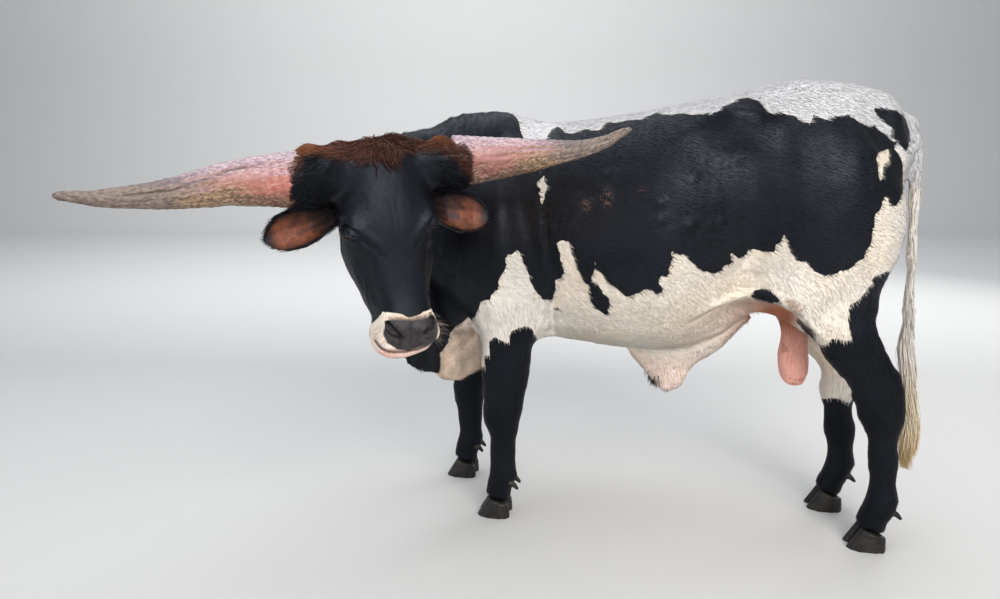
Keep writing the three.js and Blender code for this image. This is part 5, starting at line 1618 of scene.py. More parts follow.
def horn_mesh(side):
    """Rings of a tapered horn, with growth rings at its root and long furrows to its end."""
    line = curve_points([(x, side * y, z) for x, y, z in HORN_LINE], HORN_ROWS)
    level = np.linspace(0, 1, HORN_ROWS)
    line[:, 2] += HORN_LEVEL[side](level)
    line[:, 1] -= (side > 0) * 13 * step(0.6, 1.0, level)
    ways = unit(np.gradient(line, axis=0))
    run = np.concatenate([[0], np.cumsum(np.linalg.norm(np.diff(line, axis=0), axis=1))])
    rings, straight = [], []
    turns = np.linspace(0, 2 * math.pi, HORN_COUNT, endpoint=False)
    for i, (centre, way) in enumerate(zip(line, ways)):
        t = i / (HORN_ROWS - 1)
        up = np.array((0.0, 0.0, 1.0)) - way * way[2]
        up /= np.linalg.norm(up)
        across = np.cross(up, way)
        radius = HORN_RADIUS(t) * (0.7 + 0.3 * step(0.0, 0.02, t))
        radius *= 1 - (side > 0) * 0.10 * bell(t - 0.72, 0.16)
        around = turns[:, None]
        ring_way = np.cos(around) * across + np.sin(around) * up
        at = centre + ring_way * radius
        swell = 0.7 * math.sin(t * 150) * step(0.45, 0.05, t)
        furrow = waves(np.column_stack([np.cos(turns) * 3, np.sin(turns) * 3, 0 * turns + t * 2.2]), 1.1, 7)
        rough = waves(at, 14, 8, 2) * (0.25 + 0.5 * t)
        lift = swell + furrow * (0.5 + 0.9 * t) * min(1, radius / 20) + rough * min(1, radius / 12)
        if side < 0:
            lift -= 2.0 * bell(crack_distance(turns, t, radius), 1.8) * crack_share(t)
        rings.append(centre + ring_way * (radius + lift[:, None]))
        straight.append(np.column_stack([np.cos(turns) * radius, np.sin(turns) * radius, 0 * turns + run[i]]))
    points, faces = loft(rings)
    mesh = face_out(mesh_from("horn", moved(np.array(points) / 1000, HEAD), faces))
    straight = np.vstack([*straight, [[0, 0, 0], [0, 0, run[-1]]]]) / 1000
    store(mesh, "straight", straight)
    store(mesh, "run", straight[:, 2] / straight[-1, 2])
    # up: how much each place of the horn faces up, which the finish uses to lay a painted highlight on the
    # top and painted shade on the underside.
    store(mesh, "up", normals_of(mesh)[:, 2])
    crack = np.zeros(len(straight))
    if side < 0:
        angle = np.arctan2(straight[:, 1], straight[:, 0]) % (2 * math.pi)
        t = straight[:, 2] / straight[-1, 2]
        radius = np.hypot(straight[:, 0], straight[:, 1]) * 1000
        crack = bell(crack_distance(angle, t, radius), 1.7) * crack_share(t)
    # crack: share of the crack's groove, which the finish darkens with painted shade.
    store(mesh, "crack", crack)
    return mesh


def crack_distance(turns, t, radius):
    """Millimetres round the right horn from the long crack in its front."""
    return np.abs(turns - CRACK_TURN - 0.22 * np.sin(t * 7) - 0.03 * np.sin(t * 41)) * radius


def crack_share(t):
    return step(0.10, 0.2, t) * step(0.78, 0.66, t)



def horn_finish():
    """Rose and mauve near the root, salmon in front, speckled brown below, taupe to the tip, with a painted
    highlight on the top, painted shade on the underside and in the crack.
    """
    paint = Paint("Horn")
    horn = bpy.context.scene.bull_horn
    where = paint.read("straight", "Vector")
    run = paint.read("run")
    up = paint.read("up")
    streaks = paint.noise(1.0, paint.scaled((34, 34, 6), where), 6, 0.62, 0.6)
    patches = paint.noise(1.0, paint.scaled((17, 17, 5), where), 4, 0.6)
    speck = paint.noise(1.0, paint.scaled((190, 190, 90), where), 3, 0.7)
    broad = paint.math("MULTIPLY_ADD", patches, 1.5, -0.75)
    swirl = paint.math("ADD", broad, paint.math("MULTIPLY_ADD", streaks, 0.8, -0.4))
    # top: how much the horn faces up, jagged by its streaks; it places the painted highlight on the top and
    # the painted shade underneath.
    top = paint.math("ADD", up, swirl)
    rose = paint.mix(paint.ramp(streaks, 0.38, 0.62), darker(horn.pink, 0.6), tuple(horn.pink))
    salmon = paint.mix(paint.ramp(speck, 0.3, 0.7), (0.36, 0.105, 0.08), (0.50, 0.21, 0.17))
    near = paint.math("MULTIPLY", paint.ramp(patches, 0.42, 0.58), paint.ramp(run, 0.5, 0.16))
    colour = paint.mix(near, rose, salmon)
    # The pale mauve that covers the top is partly the horn's own mottling and partly a painted highlight of
    # the top light.
    mauve_and_highlight = paint.mix(paint.ramp(speck, 0.36, 0.64), (0.20, 0.125, 0.165), tuple(horn.pale))
    colour = paint.mix(paint.ramp(top, 0.0, 0.95), colour, mauve_and_highlight)
    blood = paint.math("MULTIPLY", paint.ramp(streaks, 0.5, 0.6, 0, 0.8), paint.ramp(run, 0.42, 0.1))
    blood = paint.math("MULTIPLY", blood, paint.ramp(top, 0.15, -0.35))
    colour = paint.mix(blood, colour, (0.20, 0.045, 0.038))
    # Darker speckled brown on the underside: partly the horn's own colour, partly painted shade.
    under = paint.mix(paint.ramp(speck, 0.42, 0.6), (0.075, 0.040, 0.028), (0.32, 0.19, 0.13))
    colour = paint.mix(paint.ramp(top, 0.0, -0.8), colour, under)
    colour = paint.mix(paint.ramp(speck, 0.60, 0.68, 0, 0.45), colour, (0.64, 0.48, 0.44))
    dry = paint.math("ADD", paint.math("MULTIPLY_ADD", patches, 0.5, -0.25), run)
    tan = paint.mix(paint.ramp(speck, 0.4, 0.6), (0.13, 0.080, 0.048), (0.42, 0.28, 0.17))
    low_tan = paint.math("MULTIPLY", paint.ramp(dry, 0.22, 0.42), paint.ramp(top, 0.5, -0.3))
    colour = paint.mix(low_tan, colour, tan)
    grey = paint.mix(paint.ramp(speck, 0.35, 0.62), darker(horn.grey, 0.42), tuple(horn.grey))
    colour = paint.mix(paint.ramp(dry, 0.40, 0.66), colour, grey)
    dark_top = paint.math("MULTIPLY", paint.ramp(top, 0.3, 1.0), paint.ramp(dry, 0.38, 0.5))
    dark_top = paint.math("MULTIPLY", dark_top, paint.ramp(run, 0.78, 0.62, 0, 0.7))
    colour = paint.mix(dark_top, colour, (0.085, 0.065, 0.085))
    tip = paint.mix(paint.ramp(speck, 0.35, 0.65), (0.10, 0.075, 0.062), (0.26, 0.205, 0.175))
    colour = paint.mix(paint.ramp(run, 0.78, 0.97), colour, tip)
    # The crack's dark line is painted shade in its groove.
    colour = paint.mix(paint.math("MULTIPLY", paint.read("crack"), 0.85), colour, (0.035, 0.02, 0.018))
    normal = paint.bump(streaks, 0.45, 0.003)
    normal = paint.bump(speck, 0.35, 0.0010, normal)
    rough = paint.ramp(run, 0.2, 0.8, 0.45, 0.62)
    return paint.finish(Base_Color=colour, Roughness=rough, Normal=normal, Specular_IOR_Level=0.4)


# Eyes
def eye_mesh(side):
    centre, out, long, short = eye_frame(side)
    rings = []
    for angle in np.linspace(0.02, math.pi - 0.02, 30):
        turns = np.linspace(0, 2 * math.pi, 40, endpoint=False)[:, None]
        radius = EYE_RADIUS - 0.6
        flat = radius * math.sin(angle) * (np.cos(turns) * long + np.sin(turns) * short)
        rings.append(centre + out * radius * math.cos(angle) + flat)
    points, faces = loft(rings)
    mesh = face_out(mesh_from("eye", moved(np.array(points) / 1000, HEAD), faces))
    axis = turned([out], HEAD)[0]
    middle_at = moved([centre / 1000], HEAD)[0]
    facing = (points_of(mesh) - middle_at) @ axis / (EYE_RADIUS / 1000)
    store(mesh, "facing", facing)
    return mesh


def eye_finish():
    paint = Paint("Eye")
    horn = bpy.context.scene.bull_horn
    facing = paint.read("facing")
    iris = paint.mix(paint.noise(500), tuple(horn.eye), (0.035, 0.018, 0.011))
    white = paint.mix(paint.noise(160, None, 4), (0.20, 0.17, 0.16), (0.10, 0.07, 0.06))
    colour = paint.mix(paint.ramp(facing, 0.70, 0.60), iris, white)
    return paint.finish(
        Base_Color=colour, Roughness=0.06, Specular_IOR_Level=0.7, Coat_Weight=0.8, Coat_Roughness=0.03
    )


# Claws
def hoof_finish():
    paint = Paint("Hoof")
    horn = bpy.context.scene.bull_horn
    rings = paint.noise(1.0, paint.scaled((16, 16, 190)), 3, 0.6)
    grain = paint.noise(1.0, paint.scaled((170, 170, 30)), 3, 0.6)
    dust = paint.ramp(paint.noise(24, None, 4), 0.45, 0.72, 0, 0.3)
    colour = paint.mix(paint.ramp(rings, 0.35, 0.65), darker(horn.hoof, 0.7), darker(horn.hoof, 1.8))
    colour = paint.mix(dust, colour, (0.07, 0.056, 0.045))
    normal = paint.bump(rings, 0.4, 0.0015)
    normal = paint.bump(grain, 0.3, 0.0008, normal)
    return paint.finish(Base_Color=colour, Roughness=0.45, Specular_IOR_Level=0.3, Normal=normal)


def claw_nodes():
    return [name for name in frame["nodes"] if name.startswith(("claw_", "dewclaw_"))]


def claw_mesh(name):
    """A claw rounded from its solid, with its sole still flat on the floor."""
    shape = welded([name])
    mesh = bpy.data.meshes.new(name)
    bmesh.ops.triangulate(shape, faces=shape.faces)
    shape.to_mesh(mesh)
    shape.free()
    obj = link(name + "_shape", mesh)
    remesh = obj.modifiers.new("Cells", "REMESH")
    remesh.mode = "VOXEL"
    remesh.voxel_size = 0.0042
    mesh = baked(obj, name)
    points = points_of(mesh)
    low = points[:, 2].min()
    points = spread(points, edges_of(mesh), 6, 0.5, -1.03)
    points[:, 2] = np.maximum(points[:, 2], low)
    set_points(mesh, points)
    return mesh


# Long hair
class Combed:
    """The skin's surface as long hair needs it: nearest places, marks and the unwrap."""

    def __init__(self, skin):
        self.mesh = skin.data
        self.points = points_of(self.mesh)
        self.faces = [tuple(p.vertices) for p in self.mesh.polygons]
        self.search = BVHTree.FromPolygons([tuple(p) for p in self.points], self.faces)
        self.centres = np.array([self.points[list(f)].mean(axis=0) for f in self.faces])
        self.areas = np.empty(len(self.faces))
        self.mesh.polygons.foreach_get("area", self.areas)
        self.ways = normals_of(self.mesh)
        self.layer = self.mesh.uv_layers["skin_map"].data
        self.marks = {}
        for attribute in self.mesh.attributes:
            if attribute.name.startswith("mark_") or attribute.name in ("on_head", "bare"):
                values = np.empty(len(self.points), np.float32)
                attribute.data.foreach_get("value", values)
                self.marks[attribute.name] = values

    def roots(self, wanted, count, draw):
        """Random places on the skin, as many as asked, where the wanted share is high."""
        firsts = np.array([f[0] for f in self.faces])
        weight = self.areas * wanted[firsts]
        chosen = draw.choice(len(self.faces), count, p=weight / weight.sum())
        places = []
        for index in chosen:
            corners = self.points[list(self.faces[index])]
            share = draw.dirichlet(np.ones(len(corners)))
            places.append(share @ corners)
        return np.array(places)

    def near(self, place):
        at, way, index, _ = self.search.find_nearest(Vector(place))
        return np.array(at), np.array(way), index

    def unwrapped(self, root):
        at, _, index = self.near(root)
        polygon = self.mesh.polygons[index]
        corners = self.points[list(self.faces[index])]
        nearest = polygon.loop_start + int(np.argmin(((corners - at) ** 2).sum(axis=1)))
        return self.layer[nearest].uv[:], self.faces[index][nearest - polygon.loop_start]


class Locks:
    """Guides for locks of hair: lines of points, each with its girth and its root."""

    def __init__(self, seed, combed):
        self.draw = np.random.default_rng(seed)
        self.combed = combed
        self.points, self.edges, self.girths, self.alongs = [], [], [], []
        self.roots, self.chances, self.counts = [], [], []

    def add(self, line, girth, root=None):
        start = len(self.points)
        count = len(line)
        t = np.linspace(0, 1, count)
        self.points += [tuple(p) for p in line]
        self.edges += [(start + i, start + i + 1) for i in range(count - 1)]
        self.girths += list(girth * np.clip(1.15 - t**2.2 * 1.1, 0.06, 1) * (0.75 + 0.25 * step(0, 0.2, t)))
        self.alongs += list(t)
        self.roots.append(tuple(line[0] if root is None else root))
        self.chances += [self.draw.uniform()] * count
        self.counts.append(count)

    def comb(self, root, way, length, rise, curl, girth, steps=6, hang=0.0):
        """A lock that leaves its root and follows the skin, bent by curl and its own weight."""
        draw = self.draw
        at, out, _ = self.combed.near(root)
        way = np.array(way, float)
        turn = draw.uniform(0, 2 * math.pi)
        spin = draw.uniform(2.5, 5.0)
        line = [at - out * 0.002]
        place = at
        stride = length / steps
        for i in range(1, steps + 1):
            t = i / steps
            along = way - out * (way @ out)
            along /= max(np.linalg.norm(along), 1e-6)
            side = np.cross(out, along)
            bend = curl * math.sin(turn + spin * t)
            place = place + stride * (along + side * bend + np.array((0, 0, -hang * t)))
            on, out, _ = self.combed.near(place)
            high = rise * math.sin(math.pi * min(1, t * 0.62 + 0.05)) + 0.0008
            height = (place - on) @ out
            place = place + out * max(high - height, -0.35 * abs(high - height))
            line.append(place)
        self.add(line, girth, at)

    def mesh(self):
        mesh = bpy.data.meshes.new("guides")
        mesh.from_pydata(self.points, self.edges, [])
        store(mesh, "girth", np.array(self.girths))
        store(mesh, "along", np.array(self.alongs))
        store(mesh, "chance", np.array(self.chances))
        store(mesh, "root", np.repeat(self.roots, self.counts, axis=0))
        found = [self.combed.unwrapped(root) for root in self.roots]
        places = np.array([(u, v, 0) for (u, v), _ in found])
        store(mesh, "root_place", np.repeat(places, self.counts, axis=0))
        corners = np.array([vertex for _, vertex in found])
        for name, values in self.combed.marks.items():
            store(mesh, name, np.repeat(values[corners], self.counts))
        return mesh


def locks_tree():
    tree = Tree("Locks", Sides="Int", Flatness="Float", Finish="Material")
    lines = tree.node("GeometryNodeMeshToCurve", {"Mesh": tree.given("Geometry")})
    even = tree.node("GeometryNodeSetCurveRadius", {"Curve": lines.outputs[0], "Radius": 1.0})
    ring = tree.node("GeometryNodeCurvePrimitiveCircle")
    tree.put(ring.inputs["Resolution"], tree.given("Sides"))
    ring.inputs["Radius"].default_value = 1.0
    flat = tree.node("GeometryNodeTransform", {"Geometry": ring.outputs[0]})
    size = tree.node("ShaderNodeCombineXYZ", {"X": 1.0, "Z": 1.0})
    tree.put(size.inputs[1], tree.given("Flatness"))
    tree.put(flat.inputs["Scale"], size.outputs[0])
    count = tree.sum("DIVIDE", tree.node("GeometryNodeInputIndex").outputs[0], 4.0)
    around = tree.keep(flat.outputs[0], "around", count)
    swept = tree.node("GeometryNodeCurveToMesh", {"Fill Caps": True})
    tree.put(swept.inputs["Curve"], even.outputs[0])
    tree.put(swept.inputs["Profile Curve"], around)
    tree.put(swept.inputs["Scale"], tree.field("girth"))
    patch = tree.node("ShaderNodeCombineXYZ", {"X": tree.field("along"), "Y": tree.field("around")})
    return tree.end(tree.patches(swept.outputs[0], patch.outputs[0]))


SWITCH_LINE = (
    (-97, 0, 720), (-101, 0, 650), (-105, 0, 590), (-120, 0, 510), (-131, 2, 430), (-140, 3, 350),
    (-144, 3, 290), (-148, 2, 213),
)  # fmt: skip
SWITCH_SPREAD = track(((0, 13), (0.25, 24), (0.42, 25), (0.7, 26), (0.85, 22), (1, 10)))


def switch_locks(locks):
    """The tail's switch: long wavy locks round its line, drawn in toward their tips."""
    line = curve_points(SWITCH_LINE, 60)
    draw = locks.draw
    root = moved([line[16] / 1000], BODY)[0]
    for _ in range(1500):
        start = draw.uniform(0.0, 0.70)
        stop = min(1.0, start + draw.uniform(0.25, 0.5))
        turn = draw.uniform(0, 2 * math.pi)
        reach = math.sqrt(draw.uniform(0.05, 1))
        wave = draw.uniform(2.0, 7.0) + 6.0 * step(0.5, 0.95, stop)
        phase = draw.normal() * 0.9
        points = []
        for s in np.linspace(start, stop, 9):
            centre = line[min(59, int(s * 59))]
            share = (s - start) / (stop - start)
            out = SWITCH_SPREAD(s) * reach * (0.45 + 0.55 * min(1, share * 2.5))
            bend = wave * share * math.sin(phase + 15 * s)
            x = centre[0] + out * math.cos(turn) + bend
            y = centre[1] + out * math.sin(turn) - bend * 0.7
            points.append((x, y, centre[2]))
        locks.add(moved(np.array(points) / 1000, BODY), draw.uniform(0.0011, 0.0024), root)


def tail_locks(locks):
    """Longer hair down the tail, which thickens it toward the switch."""
    combed = locks.combed
    b = moved(combed.points, BODY.inverted())
    wanted = (b[:, 0] < -0.045) & (b[:, 2] < 1.12) & (b[:, 2] > 0.58) & (np.abs(b[:, 1]) < 0.05)
    wanted = wanted * (b[:, 0] < np.interp(b[:, 2], (0.58, 1.1), (-0.09, -0.055)))
    draw = locks.draw
    for root in combed.roots(wanted.astype(float), 1100, draw):
        height = moved([root], BODY.inverted())[0][2]
        low = step(1.1, 0.6, height)
        length = draw.uniform(0.035, 0.06) + 0.03 * low
        locks.comb(root, (0, 0, -1), length, 0.002 + 0.006 * low, 0.10, draw.uniform(0.0009, 0.0016), 5)


def switch_finish():
    """Cream hair that turns golden tan toward the end of the tail."""
    paint = Paint("Tail hair")
    chance = paint.read("chance")
    height = paint.node("SeparateXYZ")
    paint.wire(paint.place(), height.inputs[0])
    low = paint.ramp(height.outputs["Z"], 0.40, 0.22)
    white = paint.mix(chance, (0.86, 0.82, 0.76), (0.66, 0.62, 0.56))
    pale = paint.mix(chance, (0.88, 0.78, 0.62), (0.72, 0.60, 0.42))
    pale = paint.mix(paint.ramp(height.outputs["Z"], 0.62, 0.42), white, pale)
    gold = paint.mix(chance, (0.80, 0.60, 0.33), (0.58, 0.39, 0.18))
    colour = paint.mix(low, pale, gold)
    return paint.finish(Base_Color=colour, Roughness=0.5, Specular_IOR_Level=0.35)


def head_place(place):
    """A place of the head's frame, given in mm, in the scene."""
    return moved([place / 1000], HEAD)[0]


def head_way(way):
    return turned([way], HEAD)[0]


def poll_locks(locks):
    """The tousled hair of the poll, parted at its crown, combed out over the horns' roots."""
    combed = locks.combed
    q = moved(combed.points, HEAD.inverted()) * 1000
    x, y, z = q.T
    draw = locks.draw
    top = step(-14, 12, z - RUST_EDGE(y)) * step(-150, -120, x) * (np.abs(y) < 190) * near_head(q, 12)
    for root in combed.roots(top, 2500, draw):
        _, ry, rz = moved([root], HEAD.inverted())[0] * 1000
        out = (ry - 12) / 95
        mid = bell(out, 0.75)
        swirl = 0.9 * math.sin(ry / 17 + rz / 13) * mid
        way = np.array((0.5 * mid, out * 1.5 + 1.2 * swirl, -0.5 * mid - 0.12 + draw.normal() * 0.2))
        length = (0.024 + 0.013 * mid) * draw.uniform(0.6, 1.2)
        rise = (0.003 + 0.006 * mid) * draw.uniform(0.5, 1.3)
        curl = 0.18 + 0.35 * mid
        locks.comb(root, head_way(way), length, rise, curl, draw.uniform(0.0009, 0.0019), 6)


def boss_locks(locks):
    """Fur that lies out over the root of each horn."""
    combed = locks.combed
    q = moved(combed.points, HEAD.inverted()) * 1000
    x, y, z = q.T
    draw = locks.draw
    reach = 199 + np.maximum(5, 17 + 0.33 * (x + 58) - 0.1 * (z + 80))
    boss = step(118, 168, np.abs(y)) * (np.abs(y) < reach - 2) * (z > -168) * near_head(q, 60)
    boss = boss * (ear_places(q)[0] < 0.5)
    for root in combed.roots(boss, 2300, draw):
        ry = moved([root], HEAD.inverted())[0][1]
        side = 1 if ry > 0 else -1
        end = step(0.16, 0.23, abs(ry))
        way = np.array((0.05, side, -0.25 + draw.normal() * 0.22))
        length = (0.021 + 0.006 * end) * draw.uniform(0.7, 1.25)
        locks.comb(root, head_way(way), length, 0.004, 0.2, draw.uniform(0.0007, 0.0013), 5)


def ear_locks(locks):
    """Long hair at the rim of each ear and from its root over the hollow."""
    draw = locks.draw
    for side in SIDES.values():
        line = curve_points([(x, side * y, z) for x, y, z in EAR_LINE], 40)
        for _ in range(330):
            t = draw.uniform(0.16, 0.97)
            edge = draw.choice((-1, 1))
            centre = line[int(t * 39)]
            half = EAR_HALF(t) * (EAR_LEFT if side > 0 else 1)
            root = centre + np.array((0, 0, edge * half * draw.uniform(0.8, 1.0) - ear_sag(centre[1])))
            way = np.array((0.15, side * (0.8 + draw.normal() * 0.2), edge * (0.30 - 0.55 * t) - 0.2))
            length = draw.uniform(0.010, 0.017) * (1.25 - 0.4 * t)
            girth = draw.uniform(0.0005, 0.0009)
            locks.comb(head_place(root), head_way(way), length, 0.003, 0.25, girth, 4)
        for _ in range(160):
            t = draw.uniform(0.0, 0.34)
            centre = line[int(t * 39)]
            root = centre + np.array((draw.uniform(-8, 8), 0, EAR_HALF(t) * 0.75 - ear_sag(centre[1])))
            way = np.array((0.1, side * draw.uniform(-0.2, 0.5), 1.0))
            length = draw.uniform(0.022, 0.036)
            girth = draw.uniform(0.0010, 0.0018)
            locks.comb(head_place(root), head_way(way), length, 0.012, 0.2, girth, 5)
        for _ in range(230):
            t = draw.uniform(0.14, 0.42)
            centre = line[int(t * 39)]
            root = centre + np.array((EAR_CUP(t) * 0.1 + 8, 0, EAR_HALF(t) * draw.uniform(-0.8, 0.95)))
            way = np.array((0.55, side * 0.9, -0.25 + draw.normal() * 0.25))
            length = draw.uniform(0.024, 0.042)
            girth = draw.uniform(0.0005, 0.0010)
            locks.comb(head_place(root), head_way(way), length, 0.009, 0.2, girth, 5)


def whisker_locks(locks):
    """Stiff whiskers about the muzzle."""
    draw = locks.draw
    for _ in range(70):
        side = draw.choice((-1, 1), p=(0.4, 0.6))
        start = np.array((draw.uniform(-70, -10), side * draw.uniform(62, 74), draw.uniform(-545, -462)))
        at, out, _ = locks.combed.near(head_place(start))
        way = out + head_way((0.3, side * 0.5, -0.35)) + draw.normal(size=3) * 0.3
        way /= np.linalg.norm(way)
        length = draw.uniform(0.012, 0.034)
        drop_way = np.array((0, 0, -0.25))
        line = [at + way * length * t + drop_way * length * t * t for t in np.linspace(-0.05, 1, 5)]
        locks.add(line, 0.00035, at)


def lash_locks(locks):
    """Lashes on the upper lids."""
    draw = locks.draw
    for side in SIDES.values():
        centre, out, long, short = eye_frame(side)
        for u in np.linspace(-20, 20, 46):
            slit = -3.0 + 0.006 * u * u
            ball = math.sqrt(max(EYE_RADIUS**2 - u * u - slit * slit, 1)) + 3
            root = centre + long * u + short * (slit + 3.4) + out * ball
            length = 15 * draw.uniform(0.7, 1.1)
            way = out * 0.75 - short * (0.75 + draw.uniform(-0.1, 0.1)) + long * (u / 60)
            line = [root + way * length * t + short * 3.5 * t * t for t in np.linspace(0, 1, 5)]
            world = moved(np.array(line) / 1000, HEAD)
            locks.add(world, 0.0004, world[0])


def sheath_locks(locks):
    """The dark tuft that hangs from the sheath."""
    draw = locks.draw
    b = moved(locks.combed.points, BODY.inverted())
    tip = bell(np.hypot(b[:, 0] - 0.665, b[:, 2] - 0.462), 0.018) * (np.abs(b[:, 1]) < 0.05)
    for root in locks.combed.roots(tip, 150, draw):
        way = turned([(draw.normal() * 0.35, draw.normal() * 0.35, -1)], BODY)[0]
        length = draw.uniform(0.012, 0.024)
        at, _, _ = locks.combed.near(root)
        line = [at + way * length * t + 0.002 * t * draw.normal(size=3) for t in np.linspace(-0.1, 1, 4)]
        locks.add(line, draw.uniform(0.0006, 0.0011), at)


def plain_hair(name, low, high):
    paint = Paint(name)
    colour = paint.mix(paint.read("chance"), low, high)
    return paint.finish(Base_Color=colour, Roughness=0.5, Specular_IOR_Level=0.3)


LONG_HAIR = {  # guides, sides and flatness of each piece of long hair
    "hair_tail": ((switch_locks, tail_locks), 3, 0.6),
    "hair_head": ((poll_locks, ear_locks), 3, 0.5),
    "hair_bosses": ((boss_locks,), 3, 0.5),
    "hair_whiskers": ((whisker_locks,), 3, 1.0),
    "hair_sheath": ((sheath_locks, lash_locks), 3, 0.7),
}


def grow_hair(skin, tufts):
    combed = Combed(skin)
    tree = locks_tree()
    finishes = {
        "hair_tail": switch_finish(),
        "hair_whiskers": plain_hair("Whiskers", (0.05, 0.04, 0.035), (0.5, 0.42, 0.35)),
        "hair_sheath": plain_hair("Dark hair", (0.012, 0.010, 0.009), (0.055, 0.040, 0.032)),
    }
    pieces = []
    for seed, (name, (makers, sides, flatness)) in enumerate(LONG_HAIR.items()):
        locks = Locks(seed + 21, combed)
        for maker in makers:
            maker(locks)
        guides = link("guides", locks.mesh())
        finish = finishes.get(name, tufts)
        piece = tree.made(name, guides, Sides=sides, Flatness=flatness, Finish=finish)
        drop(guides)
        pieces.append(piece)
    return pieces


# Stage
CAMERA_PLACE = (-0.734, -2.302)  # from the body's frame, in the scene's ways
CAMERA_DOWN = 11.66  # degrees below the horizon
CAMERA_TURN = 11  # degrees round to the left


def floor_finish():
    paint = Paint("Floor")
    tone = tuple(bpy.context.scene.bull_stage.floor)
    colour = paint.mix(paint.noise(2.5, None, 4), tone, darker(tone, 0.97))
    return paint.finish(Base_Color=colour, Roughness=0.75)


def build_stage(settings):
    """A pale floor that turns up into a back wall, soft lights and the camera."""
    rows = []
    for t in np.linspace(0, 1, 24):
        turn = t * math.pi / 2
        rows.append((9 + 3 * math.sin(turn), 3 - 3 * math.cos(turn)))
    profile = [(-9.0, 0.0), *rows, (12.0, 9.0)]
    points, faces = [], []
    turn = Matrix.Rotation(math.radians(CAMERA_TURN), 3, "Z")
    for depth, height in profile:
        for across in (-16.0, 16.0):
            points.append(tuple(turn @ Vector((across, depth, height))))
    for i in range(len(profile) - 1):
        faces.append((2 * i, 2 * i + 1, 2 * i + 3, 2 * i + 2))
    floor = link("studio_floor", mesh_from("studio_floor", points, faces), floor_finish())
    lights = (
        ("key", (2.4, -4.6, 4.2), (0.0, 0.0, 0.8), 4.0, 400, (1.0, 0.965, 0.915)),
        ("fill", (-5.0, -3.2, 2.6), (0.0, 0.0, 0.8), 4.5, 90, (0.90, 0.95, 1.0)),
        ("top", (-0.6, 0.8, 5.2), (0.0, 0.0, 0.9), 5.0, 170, (0.94, 0.97, 1.0)),
        ("rim", (3.4, 4.6, 3.0), (0.0, 0.0, 0.9), 3.0, 90, (1.0, 1.0, 1.0)),
        ("wall", (-1.5, 3.0, 7.0), (-2.6, 11.0, 5.5), 8.0, 900, (0.96, 0.98, 1.0)),
    )
    for name, place, target, size, power, tone in lights:
        lamp = bpy.data.lights.new(name, "AREA")
        lamp.size = size
        lamp.energy = power
        lamp.color = tone
        obj = bpy.data.objects.new(name, lamp)
        obj.location = place
        obj.rotation_euler = (Vector(target) - Vector(place)).to_track_quat("-Z", "Y").to_euler()
        bpy.context.scene.collection.objects.link(obj)
    world = bpy.data.worlds.new("studio")
    world.use_nodes = True
    back = world.node_tree.nodes["Background"]
    back.inputs["Color"].default_value = (0.86, 0.91, 1.0, 1.0)
    back.inputs["Strength"].default_value = 0.42
    bpy.context.scene.world = world
    bpy.context.scene.view_settings.view_transform = "Standard"
    camera = bpy.data.cameras.new("camera")
    camera.lens = settings.lens
    camera.sensor_width = 36
    obj = bpy.data.objects.new("camera", camera)
    obj.location = SHIFT + Vector((*CAMERA_PLACE, settings.height))
    obj.rotation_euler = (math.radians(90 - CAMERA_DOWN), 0, math.radians(CAMERA_TURN))
    bpy.context.scene.collection.objects.link(obj)
    bpy.context.scene.camera = obj


# Operators
built = {}


def settle(obj, slot, *nodes):
    """Ties a finished piece to the model."""
    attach(obj, "root")
    if nodes:
        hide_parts(*nodes)


class BULL_OT_skin(Operator):
    """Builds the one skin of head, neck, body, legs and tail, with its markings"""

    bl_idname = "bull.skin"
    bl_label = "Skin"

    def execute(self, context):
        skin = build_skin(context.scene.bull_skin)
        unwrap(skin, "skin_map")
        built["facts"] = mark_skin(skin)
        skin.data.materials.append(skin_finish())
        built["skin"] = skin
        settle(skin, "coat_dark", *FLESH, "ear_left", "ear_right")
        return {"FINISHED"}


class BULL_OT_coat(Operator):
    """Grows the short coat as tufts over the skin"""

    bl_idname = "bull.coat"
    bl_label = "Short coat"

    def execute(self, context):
        built["tufts"] = tuft_finish()
        for piece in grow_coat(built["skin"], built["facts"], built["tufts"]):
            settle(piece, "coat_dark")
        return {"FINISHED"}


class BULL_OT_hair(Operator):
    """Grows the long hair of poll, bosses, ears, tail and sheath, with whiskers and lashes"""

    bl_idname = "bull.hair"
    bl_label = "Long hair"

    def execute(self, context):
        for piece in grow_hair(built["skin"], built["tufts"]):
            if piece.name == "hair_tail":
                settle(piece, "hair", "tail_switch")
            else:
                settle(piece, "coat_dark")
        return {"FINISHED"}


class BULL_OT_horns(Operator):
    """Lays out the horns"""

    bl_idname = "bull.horns"
    bl_label = "Horns"

    def execute(self, context):
        finish = horn_finish()
        for name, side in SIDES.items():
            horn = link("horn_" + name + "_fine", horn_mesh(side), finish)
            settle(horn, "horn", "horn_" + name)
        return {"FINISHED"}


class BULL_OT_eyes(Operator):
    """Sets the eyes behind their lids"""

    bl_idname = "bull.eyes"
    bl_label = "Eyes"

    def execute(self, context):
        finish = eye_finish()
        for name, side in SIDES.items():
            eye = link("eye_" + name + "_fine", eye_mesh(side), finish)
            settle(eye, "eye", "eye_" + name)
        return {"FINISHED"}


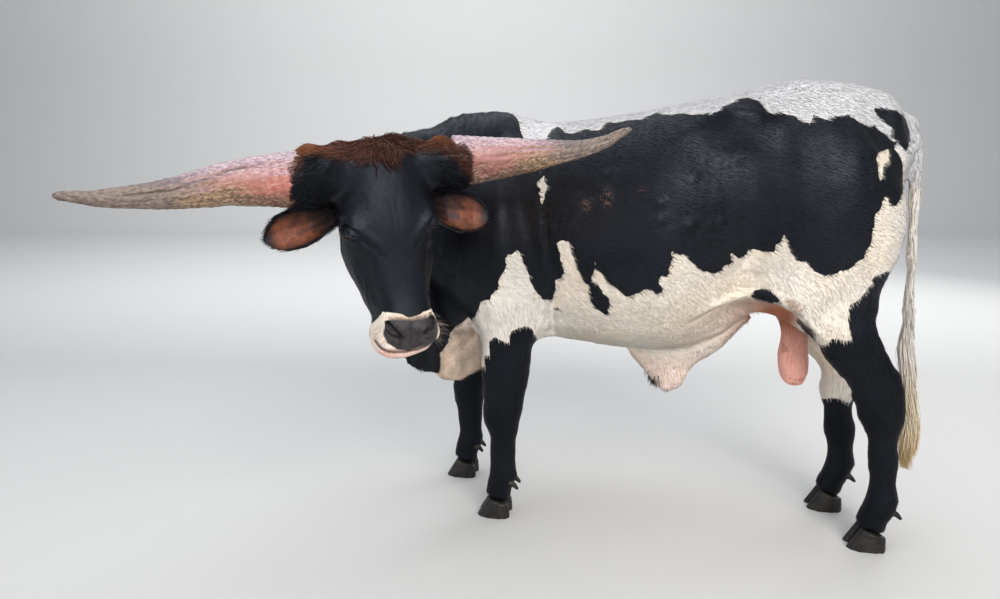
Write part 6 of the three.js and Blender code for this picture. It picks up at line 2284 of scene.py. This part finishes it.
class BULL_OT_claws(Operator):
    """Rounds the claws and dewclaws"""

    bl_idname = "bull.claws"
    bl_label = "Claws"

    def execute(self, context):
        finish = hoof_finish()
        for name in claw_nodes():
            claw = link(name + "_fine", claw_mesh(name), finish)
            settle(claw, "hoof", name)
        return {"FINISHED"}


class BULL_OT_stage(Operator):
    """Sets the floor, the lights and the camera"""

    bl_idname = "bull.stage"
    bl_label = "Stage"

    def execute(self, context):
        build_stage(context.scene.bull_stage)
        return {"FINISHED"}


OPERATORS = (
    BULL_OT_stage, BULL_OT_skin, BULL_OT_coat, BULL_OT_hair, BULL_OT_horns, BULL_OT_eyes, BULL_OT_claws,
)  # fmt: skip


class BULL_PT_panel(Panel):
    """Lists the bull's pieces and the sizes and colours that may be changed"""

    bl_idname = "BULL_PT_panel"
    bl_label = "Bull"
    bl_space_type = "VIEW_3D"
    bl_region_type = "UI"
    bl_category = "Bull"

    def draw(self, context):
        for operator in OPERATORS:
            self.layout.operator(operator.bl_idname)
        for group in ("bull_skin", "bull_coat", "bull_horn", "bull_stage"):
            box = self.layout.box()
            settings = getattr(context.scene, group)
            for name in settings.__annotations__:
                box.prop(settings, name)


SETTINGS = {
    "bull_skin": BullSkinSettings,
    "bull_coat": BullCoatSettings,
    "bull_horn": BullHornSettings,
    "bull_stage": BullStageSettings,
}


def register():
    for kind in (*SETTINGS.values(), *OPERATORS, BULL_PT_panel):
        bpy.utils.register_class(kind)
    for name, kind in SETTINGS.items():
        setattr(bpy.types.Scene, name, PointerProperty(type=kind))


def unregister():
    for name in SETTINGS:
        delattr(bpy.types.Scene, name)
    for kind in reversed((*SETTINGS.values(), *OPERATORS, BULL_PT_panel)):
        bpy.utils.unregister_class(kind)


def main():
    register()
    bpy.ops.bull.stage()
    bpy.ops.bull.skin()
    bpy.ops.bull.coat()
    bpy.ops.bull.hair()
    bpy.ops.bull.horns()
    bpy.ops.bull.eyes()
    bpy.ops.bull.claws()
    bpy.context.view_layer.update()


if __name__ == "__main__":
    main()
